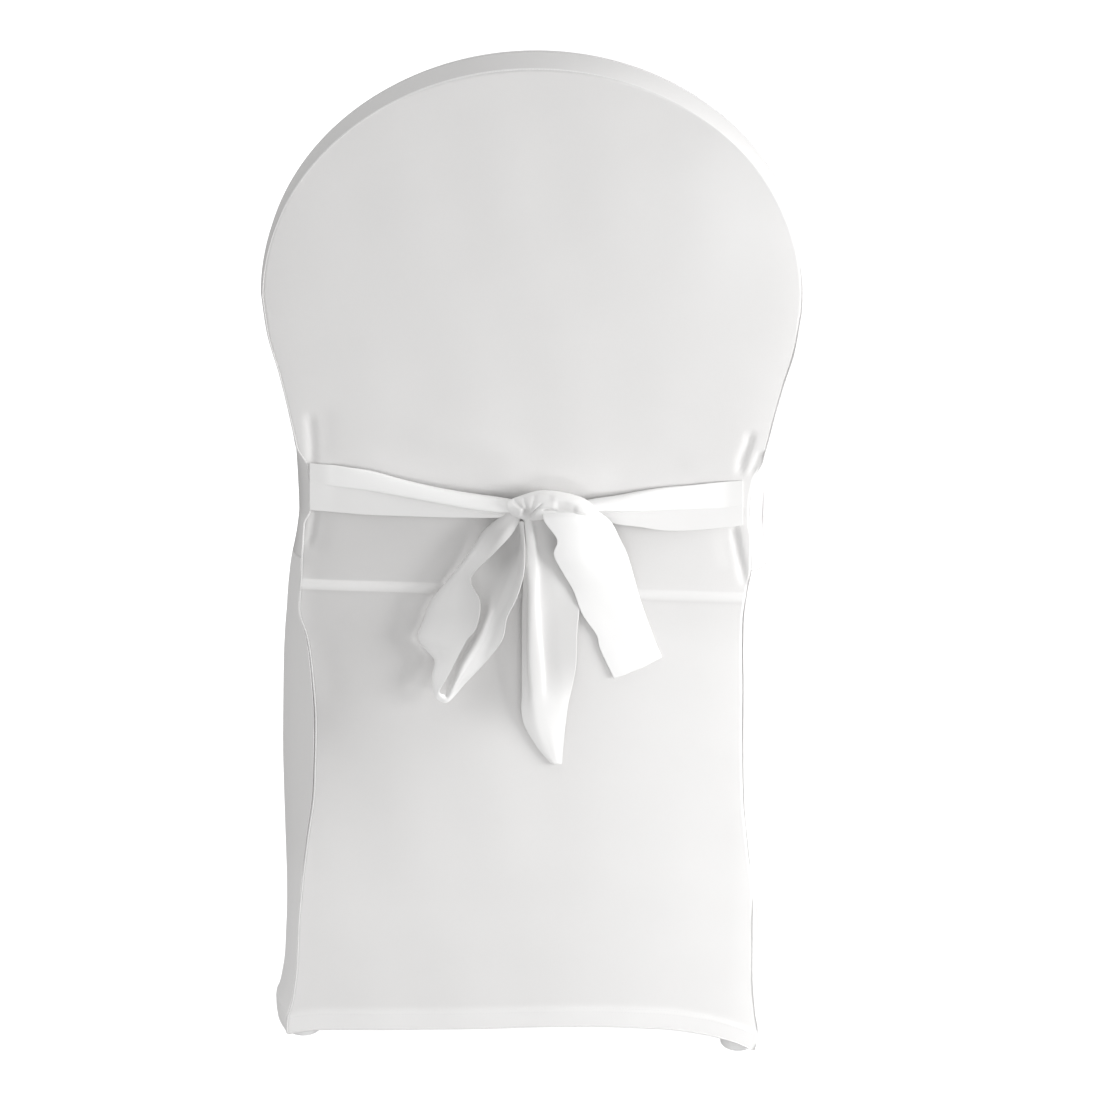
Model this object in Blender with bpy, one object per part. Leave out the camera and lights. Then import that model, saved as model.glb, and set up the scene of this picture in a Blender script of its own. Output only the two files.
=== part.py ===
"""Fitted stretch cover for a round-backed banquet chair, with a sash of two knotted ties.

Metres, +Z up. The rear of the cover faces -Y, the seat points to +Y and the origin is on
the floor below the middle of the cover. The chair itself isn't part of the model: the cover
is a hollow skin, cut along its seams into the panels that are sewn together.
"""
import math

import bmesh
import bpy
import numpy
from mathutils import Vector
from mathutils.geometry import intersect_point_line

MM = 0.001

# ---- driving dimensions ------------------------------------------------------------------
CLOTH = 1.5 * MM             # thickness of the stretched cover
SASH = 1.2 * MM              # thickness of the ties
SEAM_GAP = 0.2 * MM          # each panel stops this far from its seam line
CLEARANCE = 0.3 * MM         # gap between the knot and what comes out of it

HEAD_HALF_WIDTH = 0.2346     # seam around the rear panel, at the widest of the head
HEAD_CENTRE = 0.710          # height of that widest place
HEAD_TOP = 0.923             # height of the rear panel's seam at the top
HEAD_SKEW = 0.033            # how far the head leans to the right for each metre of its height
BACK_DEPTH = 0.045           # depth of the rim band, rear seam to front seam
BACK_LEAN = math.radians(10.2)        # of the chair back, above the waist
LEAN_RUN = 0.12              # the height above the seat in which the lean comes in
RIM_CROWN = 3.0 * MM         # how far the rim band bulges past its seams

SEAT_HEIGHT = 0.465          # seam between seat and side panels
SEAT_CROWN = 14 * MM         # how far the padded seat stands above its seams
BACK_PAD = 10 * MM           # how far the padded inside of the back stands forward
FRONT_CORNER = 0.022         # plan radius of the skirt's front corners
DATUM_Y = -0.1646            # the datum line of the depths below, from the origin

HEM_HEIGHT = 8.0 * MM        # hem at the four corners
REAR_ARCH = 12 * MM          # rise of the hem in the middle of each side
SIDE_ARCH = 14 * MM
FRONT_ARCH = 12 * MM

POCKET_RADIUS = 16.5 * MM    # each foot pocket, outside
POCKET_HEIGHT = 40 * MM
POCKET_ROUND = 6 * MM        # radius between the pocket's wall and its sole
POCKET_FIT = 0.4 * MM        # gap between a pocket and the panels around it
POCKET_SIDES = 16

# Outline of the skirt and waist seen from behind: height, half width.
OUTLINE = (
    (0.000, 0.2215), (0.008, 0.2255), (0.018, 0.2265), (0.040, 0.2232), (0.080, 0.2190),
    (0.140, 0.2176), (0.230, 0.2190), (0.330, 0.2196), (0.412, 0.2184), (0.449, 0.2157),
    (0.487, 0.2095), (0.506, 0.2078), (0.524, 0.2084), (0.565, 0.2112), (0.600, 0.2166),
    (0.636, 0.2242), (0.674, 0.2336), (0.710, 0.2376))

# Rear face of the cover: height, depth from the datum line (minus is further back).
REAR_FACE = (
    (0.000, -0.0620), (0.200, -0.0520), (0.441, -0.0400), (0.530, -0.0345), (0.620, -0.0460),
    (0.780, -0.0749), (0.923, -0.1007))

# How far the rear side seams lie inside the outline: height, left, right.
SEAM_INSET = (
    (0.000, 0.0095, 0.0050), (0.040, 0.0130, 0.0040), (0.110, 0.0128, 0.0035),
    (0.158, 0.0163, 0.0045), (0.193, 0.0210, 0.0105), (0.250, 0.0284, 0.0188),
    (0.310, 0.0297, 0.0222), (0.364, 0.0254, 0.0238), (0.392, 0.0206, 0.0248),
    (0.416, 0.0130, 0.0246), (0.445, 0.0125, 0.0200), (0.470, 0.0095, 0.0125),
    (0.496, 0.0072, 0.0092), (0.509, 0.0123, 0.0110), (0.530, 0.0134, 0.0122),
    (0.550, 0.0115, 0.0105), (0.568, 0.0040, 0.0045), (0.600, 0.0030, 0.0030),
    (0.710, 0.0030, 0.0030))

# Front of the skirt: height, half width, depth from the datum line.
FRONT_FACE = (
    (0.000, 0.2240, 0.4270), (0.018, 0.2275, 0.4300), (0.080, 0.2200, 0.4235),
    (0.250, 0.2150, 0.4160), (0.400, 0.2200, 0.4190), (0.465, 0.2225, 0.4150))

# Heights of the rows of the skirt's mesh, hem to seat.
SKIRT_ROWS = (
    HEM_HEIGHT, 0.014, 0.024, 0.040, 0.075, 0.120, 0.165, 0.210, 0.255, 0.300, 0.345, 0.385,
    0.412, 0.432, 0.441, 0.450, SEAT_HEIGHT)
WAIST_ROWS = (0.482, 0.497, 0.511, 0.521, 0.532, 0.543, 0.554, 0.572, 0.603, 0.641, 0.675)
HEAD_STEPS = 14              # rows from the widest of the head to its top
RAIL_HEIGHT = 0.441          # the chair's rear rail, which shows as a ridge
RAIL_RIDGE = 2.0 * MM        # how far the cloth stands out over the rail
RAIL_SPREAD = 6.0 * MM       # how far above and below the rail it does
HEM_FADE = 0.10              # height over which the hem's arch dies out upwards

# The ties, from the side seam to the knot, in mm: top edge's x, z and distance out from the
# rear face, then the bottom edge's.
TIE_LEFT = (
    (-198.0, 554.0, 1.0, -195.3, 510.0, 1.0), (-172.0, 555.0, 2.5, -165.0, 509.5, 2.5),
    (-140.0, 550.5, 4.0, -128.0, 508.5, 4.0), (-111.0, 543.0, 6.0, -100.0, 508.5, 6.0),
    (-82.0, 537.0, 8.0, -72.0, 509.0, 8.0), (-52.0, 532.5, 10.5, -47.0, 511.0, 10.5),
    (-30.0, 530.0, 12.0, -28.0, 514.5, 12.0), (-10.0, 528.0, 14.0, -10.0, 518.0, 14.0))
TIE_RIGHT = (
    (197.5, 552.0, 1.0, 195.3, 508.0, 1.0), (165.0, 547.0, 2.5, 165.0, 503.5, 2.5),
    (130.0, 542.5, 4.5, 130.0, 502.0, 4.5), (100.0, 538.0, 8.0, 105.0, 504.0, 8.0),
    (80.0, 534.0, 10.5, 88.0, 507.0, 10.5), (66.0, 531.5, 12.5, 74.0, 510.5, 12.5),
    (50.0, 529.0, 14.5, 52.0, 516.0, 14.5))

# Hanging pieces, from the knot down, in mm: one edge's x, z, out, then the other edge's.
BOW_LOOP = (
    (-8.0, 519.0, 15.0, -3.0, 518.0, 20.0), (-30.0, 505.0, 14.0, -17.0, 503.0, 20.0),
    (-62.0, 463.0, 15.0, -44.0, 466.0, 24.0), (-88.0, 429.0, 15.0, -46.0, 441.0, 29.0),
    (-98.0, 397.0, 14.0, -53.0, 415.0, 28.0), (-86.0, 367.0, 15.0, -65.0, 388.0, 26.0),
    (-81.5, 349.0, 16.0, -77.0, 360.0, 22.0), (-75.5, 341.0, 16.5, -73.0, 350.0, 20.0),
    (-67.0, 346.0, 16.5, -67.5, 356.0, 18.0), (-51.0, 358.0, 17.0, -58.0, 379.0, 15.0),
    (-28.0, 383.0, 19.0, -43.0, 404.0, 12.0), (-16.0, 412.0, 21.0, -33.0, 428.0, 10.0),
    (-10.0, 445.0, 21.0, -22.0, 450.0, 10.0), (-4.0, 480.0, 20.0, -8.0, 482.0, 16.0),
    (5.0, 518.0, 16.0, 4.0, 517.0, 22.0))
TAIL_CENTRE = (
    (4.0, 518.0, 13.0, 14.0, 518.0, 14.0), (0.0, 495.0, 11.0, 20.0, 493.0, 14.0),
    (-4.0, 465.0, 10.0, 33.0, 463.0, 15.0), (-5.0, 437.0, 10.0, 41.0, 438.0, 16.0),
    (-4.0, 405.0, 10.0, 44.0, 408.0, 16.0), (-3.0, 376.0, 10.0, 44.0, 382.0, 17.0),
    (-5.0, 350.0, 10.0, 40.0, 356.0, 16.5), (-6.0, 337.0, 10.5, 38.0, 343.0, 15.5),
    (1.0, 318.0, 10.0, 36.0, 320.0, 13.0), (11.0, 300.0, 9.5, 35.0, 302.0, 11.0),
    (25.0, 283.0, 9.0, 34.0, 284.0, 9.5))
TAIL_RIGHT = (
    (22.0, 522.0, 19.0, 52.0, 523.0, 17.0), (19.0, 514.0, 30.0, 70.0, 512.0, 26.0),
    (28.0, 497.0, 34.5, 84.0, 495.0, 28.5), (28.0, 482.0, 33.0, 90.0, 478.0, 26.5),
    (41.0, 455.0, 27.0, 98.0, 451.0, 21.5), (57.0, 424.0, 19.0, 108.0, 424.0, 15.0),
    (67.0, 403.0, 14.0, 115.0, 411.0, 11.5), (79.0, 375.0, 9.5, 121.0, 396.0, 8.5))

KNOT_CENTRE = (0.021, 0.523)          # x and height
KNOT_OUT = 0.0165                     # its middle, from the rear face
KNOT_HALF = (0.039, 0.0130, 0.0140)   # along, out and up
KNOT_FOLD = 0.07                      # height of its folds, as a share of its half size
KNOT_RINGS = 14
KNOT_SIDES = 18


# ---- reading the tables --------------------------------------------------------------------
def read(table, height, column=1):
    """A smooth value between a table's rows, with no overshoot."""
    rows = [row[0] for row in table]
    values = [row[column] for row in table]
    if height <= rows[0]:
        return values[0]
    if height >= rows[-1]:
        return values[-1]
    slopes = [(values[i + 1] - values[i]) / (rows[i + 1] - rows[i]) for i in range(len(rows) - 1)]

    def tangent(i):
        if i == 0:
            return slopes[0]
        if i == len(slopes):
            return slopes[-1]
        before, after = slopes[i - 1], slopes[i]
        return 0.0 if before * after <= 0 else 2 * before * after / (before + after)

    i = max(k for k in range(len(slopes)) if rows[k] <= height)
    span = rows[i + 1] - rows[i]
    t = (height - rows[i]) / span
    return ((2 * t ** 3 - 3 * t ** 2 + 1) * values[i] + (t ** 3 - 2 * t ** 2 + t) * span * tangent(i)
            + (3 * t ** 2 - 2 * t ** 3) * values[i + 1] + (t ** 3 - t ** 2) * span * tangent(i + 1))


def smooth(t):
    """An even change from 0 to 1 while t goes from 0 to 1."""
    t = min(max(t, 0.0), 1.0)
    return t * t * (3 - 2 * t)


def rear(height):
    """Y of the rear face."""
    return DATUM_Y + read(REAR_FACE, height)


# ---- the rear seam, the rim and the corners of the skirt ---------------------------------------
def forward(height):
    """The direction of the chair back's depth: level at the seat, leaning above the waist."""
    lean = BACK_LEAN * smooth((height - SEAT_HEIGHT) / LEAN_RUN)
    return Vector((0.0, math.cos(lean), math.sin(lean)))


def side_station(height, side):
    """One place on the straight part of the rim: rear seam point, and the way out sideways."""
    inset = read(SEAM_INSET, height, 1 if side < 0 else 2)
    x = side * (read(OUTLINE, height) - inset)
    return Vector((x, rear(height), height)), Vector((side, 0.0, 0.0)), inset


def head_station(angle, side):
    """One place on the round of the head, from 0 at its widest to 90 degrees at the top."""
    rise = (HEAD_TOP - HEAD_CENTRE) * math.sin(angle)
    x = side * HEAD_HALF_WIDTH * math.cos(angle) + HEAD_SKEW * rise
    height = HEAD_CENTRE + rise
    way_out = Vector((side * math.cos(angle), 0.0, math.sin(angle)))
    return Vector((x, rear(height), height)), way_out, RIM_CROWN


def rim_point(station, part):
    """A point across the rim band, 0 at the rear seam and 1 at the front seam."""
    seam, way_out, inset = station
    bulge = 0.5 * (inset + RIM_CROWN)
    point = seam + forward(seam.z) * BACK_DEPTH * part
    point += way_out * (inset - RIM_CROWN) * part
    return point + way_out * bulge * (1 - abs(2 * part - 1) ** 2.5)


RIM_PARTS = (0.0, 0.08, 0.2, 0.36, 0.5, 0.7, 0.88, 1.0)
HEAD_ANGLES = [math.pi / 2 * step / HEAD_STEPS for step in range(HEAD_STEPS + 1)]
SIDE_HEIGHTS = (SEAT_HEIGHT,) + WAIST_ROWS


def stations(side):
    """The rim's places from seat level up to the top of the head."""
    return ([side_station(height, side) for height in SIDE_HEIGHTS]
            + [head_station(angle, side) for angle in HEAD_ANGLES])


def rim_rows():
    left, right = stations(-1), stations(1)
    return [[rim_point(station, part) for part in RIM_PARTS]
            for station in left + right[-2::-1]]


def back_point(height, across, left, right, arch=0.0):
    """A point of the rear panel between its two seams, across from -1 to 1."""
    part = 0.5 * (across + 1)
    height += arch * (1 - across ** 4)
    x = left.x + (right.x - left.x) * part
    ridge = RAIL_RIDGE * math.exp(-((height - RAIL_HEIGHT) / RAIL_SPREAD) ** 2) * (1 - across ** 8)
    return Vector((x, rear(height) - ridge, height))


def arch_share(height):
    """How much of the hem's arch a row takes: all at the hem, none above the foot."""
    return 1 - smooth((height - HEM_HEIGHT) / HEM_FADE)


def filled_arch(left, right, columns):
    """Rows that fill a round-topped shape from its two sides, each listed from the foot of the
    round to the very top. The sides' last stretches together make the top row."""
    across = len(columns) - 1
    rows = len(left) - across // 2
    top = left[rows - 1:] + right[-2:rows - 2:-1]
    filled = []
    for row in range(rows):
        v = row / (rows - 1)
        start, end = left[row], right[row]
        points = []
        for column in range(across + 1):
            u = column / across
            foot = left[0].lerp(right[0], u)
            sides = start.lerp(end, u)
            chord = foot.lerp(top[0].lerp(top[-1], u), v)
            points.append(foot.lerp(top[column], v) + sides - chord)
        filled.append(points)
    return filled


COLUMNS = [-1 + 2 * step / HEAD_STEPS for step in range(HEAD_STEPS + 1)]
ROUND_FOOT = 10              # the waist row from which the rows bend to the round of the head


def back_rows():
    rows = []
    for height in SKIRT_ROWS[:-1] + SIDE_HEIGHTS[:ROUND_FOOT]:
        left, right = side_station(height, -1)[0], side_station(height, 1)[0]
        arch = REAR_ARCH * arch_share(height)
        rows.append([back_point(height, across, left, right, arch) for across in COLUMNS])
    left = [station[0] for station in stations(-1)[ROUND_FOOT:]]
    right = [station[0] for station in stations(1)[ROUND_FOOT:]]
    for row in filled_arch(left, right, COLUMNS):
        rows.append([Vector((point.x, rear(point.z), point.z)) for point in row])
    return rows


# ---- the sitting side: inside back, seat, front and sides of the skirt -----------------------
SEAT_PARTS = (0.0, 0.05, 0.16, 0.34, 0.54, 0.74, 0.88, 0.96, 1.0)     # rim to front corner
CORNER_SIDE = (15, 30, 45)            # degrees round a front corner that belong to the side panel
CORNER_FRONT = (45, 60, 75, 90)       # and to the front panel


def inside_rows():
    """The panel that is leant on: flat at its seams and padded between them."""
    left, right = stations(-1), stations(1)
    rows = []
    for a, b in zip(left[:ROUND_FOOT], right[:ROUND_FOOT]):
        start, end = rim_point(a, 1.0), rim_point(b, 1.0)
        rows.append([start.lerp(end, 0.5 * (across + 1)) for across in COLUMNS])
    rows += filled_arch([rim_point(station, 1.0) for station in left[ROUND_FOOT:]],
                        [rim_point(station, 1.0) for station in right[ROUND_FOOT:]], COLUMNS)
    for number, row in enumerate(rows):
        up = number / (len(rows) - 1)
        for point, across in zip(row, COLUMNS):
            pad = BACK_PAD * max(1 - across ** 4, 0.0) * max(1 - abs(2 * up - 1) ** 4, 0.0)
            point += forward(point.z) * pad
    return rows


def front_corner(height, side, angle):
    """The round of a front corner: 0 faces sideways, 90 degrees faces forward."""
    half_width = read(FRONT_FACE, height, 1)
    depth = DATUM_Y + read(FRONT_FACE, height, 2)
    x = half_width - FRONT_CORNER * (1 - math.cos(angle))
    y = depth - FRONT_CORNER * (1 - math.sin(angle))
    return Vector((side * x, y, height))


def side_columns(height, side):
    """Across a side panel at one height: rear seam, round the corner, and on to the front."""
    station = side_station(height, side)
    points = [rim_point(station, part) for part in RIM_PARTS]
    end = front_corner(height, side, 0.0)
    points += [points[len(RIM_PARTS) - 1].lerp(end, part) for part in SEAT_PARTS[1:]]
    points += [front_corner(height, side, math.radians(angle)) for angle in CORNER_SIDE]
    return points


def side_rows(side):
    rows = []
    for height in SKIRT_ROWS:
        points = side_columns(height, side)
        last = len(points) - 1
        share = SIDE_ARCH * arch_share(height)
        for column, point in enumerate(points):
            run = column / last
            point.z += share * (1 - abs(2 * run - 1) ** 4)
        rows.append(points)
    return rows


def front_rows():
    rows = []
    for height in SKIRT_ROWS:
        left, right = ([front_corner(height, side, math.radians(angle)) for angle in CORNER_FRONT]
                       for side in (-1, 1))
        right.reverse()
        middle = [left[-1].lerp(right[0], step / HEAD_STEPS) for step in range(1, HEAD_STEPS)]
        points = left + middle + right
        share = FRONT_ARCH * arch_share(height)
        for point in points:
            point.z += share * (1 - min(abs(point.x / points[-1].x), 1.0) ** 4)
        rows.append(points)
    return rows


def seat_rows():
    """Rows from the foot of the back to the front seam, crowned between them."""
    left, right = side_columns(SEAT_HEIGHT, -1), side_columns(SEAT_HEIGHT, 1)
    first = len(RIM_PARTS) - 1
    edges = list(zip(left[first:], right[first:]))
    for angle in CORNER_FRONT[1:]:
        turn = math.radians(angle)
        edges.append((front_corner(SEAT_HEIGHT, -1, turn), front_corner(SEAT_HEIGHT, 1, turn)))
    back, front = edges[0][0].y, edges[-1][0].y
    rows = []
    for start, end in edges:
        along = (start.y - back) / (front - back)
        crown = SEAT_CROWN * math.sin(math.pi * min(max(along, 0.0), 1.0)) ** 0.5
        row = [start.lerp(end, 0.5 * (across + 1)) for across in COLUMNS]
        for point, across in zip(row, COLUMNS):
            point.z += crown * (1 - across ** 4)
        rows.append(row)
    return rows


# ---- from rows of points to closed solids ------------------------------------------------------
def material(name, colour, roughness):
    made = bpy.data.materials.new(name)
    made.use_nodes = True
    shader = made.node_tree.nodes["Principled BSDF"]
    shader.inputs["Base Color"].default_value = (*colour, 1.0)
    shader.inputs["Roughness"].default_value = roughness
    shader.inputs["Metallic"].default_value = 0.0
    return made


def face_outwards(mesh_data):
    bmesh.ops.recalc_face_normals(mesh_data, faces=mesh_data.faces)
    if mesh_data.calc_volume(signed=True) < 0:
        bmesh.ops.reverse_faces(mesh_data, faces=mesh_data.faces)
    mesh_data.normal_update()


def finish(name, mesh_data, made_of):
    """Turns a bmesh into a named object with its material, shaded smooth but for its edges."""
    face_outwards(mesh_data)
    mesh = bpy.data.meshes.new(name)
    mesh_data.to_mesh(mesh)
    mesh_data.free()
    mesh.shade_smooth()
    mesh.set_sharp_from_angle(angle=math.radians(50))
    piece = bpy.data.objects.new(name, mesh)
    piece.data.materials.append(made_of)
    bpy.context.scene.collection.objects.link(piece)
    return piece


def add_grid(mesh_data, rows, closed=False):
    """Adds a grid of quads and returns its vertices."""
    grid = [[mesh_data.verts.new(point) for point in row] for row in rows]
    faces = []
    for lower, upper in zip(grid, grid[1:]):
        count = len(lower)
        for i in range(count if closed else count - 1):
            j = (i + 1) % count
            faces.append(mesh_data.faces.new((lower[i], lower[j], upper[j], upper[i])))
    return grid, faces


def sew(panels):
    """Welds all the panels' grids into one skin whose faces remember their panel."""
    skin = bmesh.new()
    for number, rows in enumerate(panels.values()):
        for face in add_grid(skin, rows)[1]:
            face.material_index = number
    bmesh.ops.remove_doubles(skin, verts=skin.verts, dist=0.02 * MM)
    bmesh.ops.recalc_face_normals(skin, faces=skin.faces)
    skin.normal_update()
    skin.verts.index_update()
    return skin


def inner_corner(vert):
    """The step to the inner face: one thickness behind every face that meets at the vertex."""
    normals = numpy.array([face.normal[:] for face in vert.link_faces])
    depths = numpy.full(len(normals), -CLOTH)
    return Vector(numpy.linalg.lstsq(normals, depths, rcond=0.2)[0])


def away_from_seam(vert, own):
    """The way along a panel from a vertex on its seam; `own` are the panel's faces there."""
    edges = [edge for edge in vert.link_edges
             if sum(face in own for face in edge.link_faces) == 1]
    ways = [(edge.other_vert(vert).co - vert.co).normalized() for edge in edges]
    facing = sum((face.normal for face in own), Vector()).normalized()
    inward = facing.cross(ways[0] - ways[1]).normalized()
    middle = sum((face.calc_center_median() for face in own), Vector()) / len(own)
    if inward.dot(middle - vert.co) < 0:
        inward.negate()
    return inward / max(min(inward.cross(way).length for way in ways), 0.5)


def cut_panel(skin, number, name, made_of):
    """A panel as a closed sheet. Its edges at a seam are mitred and stop short of the seam."""
    panel = bmesh.new()
    outer, inner = {}, {}
    for vert in skin.verts:
        own = [face for face in vert.link_faces if face.material_index == number]
        if not own:
            continue
        point = vert.co.copy()
        if len(own) < len(vert.link_faces):
            point += away_from_seam(vert, own) * SEAM_GAP
        outer[vert] = panel.verts.new(point)
        inner[vert] = panel.verts.new(point + inner_corner(vert))
    for face in skin.faces:
        if face.material_index != number:
            continue
        panel.faces.new([outer[vert] for vert in face.verts])
        panel.faces.new([inner[vert] for vert in reversed(face.verts)])
        for loop in face.loops:
            neighbours = [other for other in loop.edge.link_faces if other.material_index == number]
            if len(neighbours) == 1:
                a, b = sorted((loop.vert, loop.link_loop_next.vert), key=lambda end: end.index)
                panel.faces.new((outer[a], outer[b], inner[b]))
                panel.faces.new((outer[a], inner[b], inner[a]))
    return finish(name, panel, made_of)


# ---- foot pockets --------------------------------------------------------------------------------
POCKET_REACH = POCKET_RADIUS + POCKET_FIT + CLOTH     # from its middle to a panel's outer face


def distance_to(wall, middle):
    """From a point to the nearest place on a line of points."""
    gaps = []
    for start, end in zip(wall, wall[1:]):
        nearest, part = intersect_point_line(middle, start, end)
        nearest = start if part < 0 else end if part > 1 else nearest
        gaps.append((middle - nearest).length)
    return min(gaps)


def rear_pocket(side):
    """The middle of a rear pocket, which lies against the rear panel and the side panel."""
    wall = side_columns(POCKET_HEIGHT, side)
    y = rear(POCKET_HEIGHT) + POCKET_REACH
    near, far = 0.0, read(OUTLINE, POCKET_HEIGHT)
    while far - near > 0.01 * MM:
        x = 0.5 * (near + far)
        if distance_to(wall, Vector((side * x, y, POCKET_HEIGHT))) > POCKET_REACH:
            near = x
        else:
            far = x
    return side * near, y


def front_pocket(side):
    """The middle of a front pocket, which lies in the round of the corner."""
    inward = FRONT_CORNER + (POCKET_REACH - FRONT_CORNER) * math.sqrt(0.5)
    x = read(FRONT_FACE, POCKET_HEIGHT, 1) - inward
    return side * x, DATUM_Y + read(FRONT_FACE, POCKET_HEIGHT, 2) - inward


def cup(name, middle, made_of):
    """A foot pocket: a round cup of cloth, closed below by its sole."""
    turns = [2 * math.pi * step / POCKET_SIDES for step in range(POCKET_SIDES)]

    def ring(radius, height):
        return [Vector((middle[0] + radius * math.cos(turn), middle[1] + radius * math.sin(turn), height))
                for turn in turns]

    def wall(inset):
        """The profile from the rim down to the sole, the cloth's outer or inner face."""
        radius, rounding = POCKET_RADIUS - inset, POCKET_ROUND - inset
        places = [(radius, POCKET_HEIGHT), (radius, 0.5 * POCKET_HEIGHT)]
        for degrees in (0, 30, 60, 90):
            turn = math.radians(degrees)
            places.append((radius - rounding * (1 - math.cos(turn)),
                           inset + rounding * (1 - math.sin(turn))))
        return places

    pocket = bmesh.new()
    outside = add_grid(pocket, [ring(*place) for place in wall(0.0)], closed=True)[0]
    inside = add_grid(pocket, [ring(*place) for place in wall(CLOTH)], closed=True)[0]
    pocket.faces.new(outside[-1])
    pocket.faces.new(inside[-1])
    for i in range(POCKET_SIDES):
        j = (i + 1) % POCKET_SIDES
        pocket.faces.new((outside[0][i], outside[0][j], inside[0][j], inside[0][i]))
    return finish(name, pocket, made_of)


# ---- the sash ------------------------------------------------------------------------------------
def between(rows, place):
    """A smooth row between the rows of a table; place runs from 0 to the last row's number."""
    i = min(int(place), len(rows) - 2)
    t = place - i
    before, a, b, after = (rows[min(max(k, 0), len(rows) - 1)] for k in (i - 1, i, i + 1, i + 2))
    return [0.5 * (2 * q + (r - p) * t + (2 * p - 5 * q + 4 * r - s) * t ** 2
                   + (3 * q - p - 3 * r + s) * t ** 3) for p, q, r, s in zip(before, a, b, after)]


def pleat(shape, across, along):
    """How far a lengthwise fold stands out: nothing at the strip's root, all of it further on."""
    height, middle, width = shape
    return height * math.exp(-((across - middle) / width) ** 2) * smooth(along * 3)


def strip_rows(table, steps, columns, fold):
    """Rows of points across a strip, from its table and the shape of its fold."""
    count = (len(table) - 1) * steps
    rows = []
    for step in range(count + 1):
        x1, z1, out1, x2, z2, out2 = (value * MM for value in between(table, step / steps))
        row = []
        for column in range(columns + 1):
            across = column / columns
            x, z = x1 + (x2 - x1) * across, z1 + (z2 - z1) * across
            out = out1 + (out2 - out1) * across + pleat(fold, across, step / count)
            row.append(Vector((x, rear(z) - out, z)))
        rows.append(row)
    return rows


def sheet(name, rows, made_of):
    """A closed sheet with its two faces half a thickness either side of the rows."""
    face_side, back_side = [], []
    for i, row in enumerate(rows):
        ahead, behind = rows[min(i + 1, len(rows) - 1)], rows[max(i - 1, 0)]
        face_side.append([])
        back_side.append([])
        for j, point in enumerate(row):
            along = ahead[j] - behind[j]
            across = row[min(j + 1, len(row) - 1)] - row[max(j - 1, 0)]
            normal = along.cross(across).normalized()
            face_side[-1].append(point + normal * SASH / 2)
            back_side[-1].append(point - normal * SASH / 2)
    cloth = bmesh.new()
    face, back = add_grid(cloth, face_side)[0], add_grid(cloth, back_side)[0]

    def border(grid):
        return (grid[0] + [row[-1] for row in grid[1:-1]] + grid[-1][::-1]
                + [row[0] for row in grid[-2:0:-1]])

    around, below = border(face), border(back)
    for i in range(len(around)):
        j = (i + 1) % len(around)
        cloth.faces.new((around[i], around[j], below[j], below[i]))
    return finish(name, cloth, made_of)


def knot_solid(name, grow, made_of):
    """The knot: a flat bundle whose folds run round it and twist a little along it."""
    middle = Vector((KNOT_CENTRE[0], rear(KNOT_CENTRE[1]) - KNOT_OUT, KNOT_CENTRE[1]))
    rows = []
    for ring in range(1, KNOT_RINGS):
        along = -math.cos(math.pi * ring / KNOT_RINGS)
        size = (1 - abs(along) ** 2.6) ** 0.45
        row = []
        for step in range(KNOT_SIDES):
            turn = 2 * math.pi * step / KNOT_SIDES
            fold = 1 + KNOT_FOLD * math.cos(4 * turn + 5 * along)
            step_out = Vector((along, -fold * size * math.cos(turn), fold * size * math.sin(turn)))
            row.append(middle + Vector(KNOT_HALF) * step_out)
        rows.append(row)
    bundle = bmesh.new()
    grid = add_grid(bundle, rows, closed=True)[0]
    bundle.faces.new(grid[0])
    bundle.faces.new(grid[-1])
    face_outwards(bundle)
    for vert, normal in [(vert, vert.normal.copy()) for vert in bundle.verts]:
        vert.co += normal * grow
    return finish(name, bundle, made_of)


def seat_on_knot(piece, cutter):
    """Ends a strip just short of the knot's surface."""
    cut = piece.modifiers.new("end at the knot", "BOOLEAN")
    cut.operation = "DIFFERENCE"
    cut.object = cutter


# ---- the model -------------------------------------------------------------------------------------
for old in list(bpy.data.objects):
    bpy.data.objects.remove(old, do_unlink=True)

PANELS = {
    "back_panel": back_rows(),
    "rim_band": rim_rows(),
    "inside_back_panel": inside_rows(),
    "seat_panel": seat_rows(),
    "front_panel": front_rows(),
    "side_panel_left": side_rows(-1),
    "side_panel_right": side_rows(1),
}
whole_cover = sew(PANELS)
for order, panel_name in enumerate(PANELS):
    cut_panel(whole_cover, order, panel_name, material(panel_name + "_cloth", (0.84, 0.84, 0.85), 0.8))
whole_cover.free()

for end, place in (("rear", rear_pocket), ("front", front_pocket)):
    for side, hand in ((-1, "left"), (1, "right")):
        pocket_name = "foot_pocket_" + end + "_" + hand
        cup(pocket_name, place(side), material(pocket_name + "_cloth", (0.80, 0.80, 0.81), 0.85))

knot_solid("knot", 0.0, material("knot_cloth", (0.88, 0.88, 0.88), 0.7))
knot_room = knot_solid("knot_room", CLEARANCE, bpy.data.materials["knot_cloth"])
knot_room.hide_render = True
knot_room.display_type = "WIRE"


# Each piece of the ties: its table, the mesh steps for each row and across, and the soft
# lengthwise fold in it: height, place across the cloth and width.
SASH_PIECES = (
    ("tie_left", TIE_LEFT, 3, 5, (1.6 * MM, 0.28, 0.22)),
    ("tie_right", TIE_RIGHT, 3, 5, (1.6 * MM, 0.28, 0.22)),
    ("bow_loop", BOW_LOOP, 2, 5, (0.0, 0.50, 0.30)),
    ("tail_centre", TAIL_CENTRE, 2, 8, (5.0 * MM, 0.30, 0.16)),
    ("tail_right", TAIL_RIGHT, 3, 6, (3.0 * MM, 0.50, 0.40)))
for piece_name, table, steps, columns, fold in SASH_PIECES:
    strip = sheet(piece_name, strip_rows(table, steps, columns, fold),
                  material(piece_name + "_cloth", (0.90, 0.90, 0.90), 0.65))
    seat_on_knot(strip, knot_room)
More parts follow.
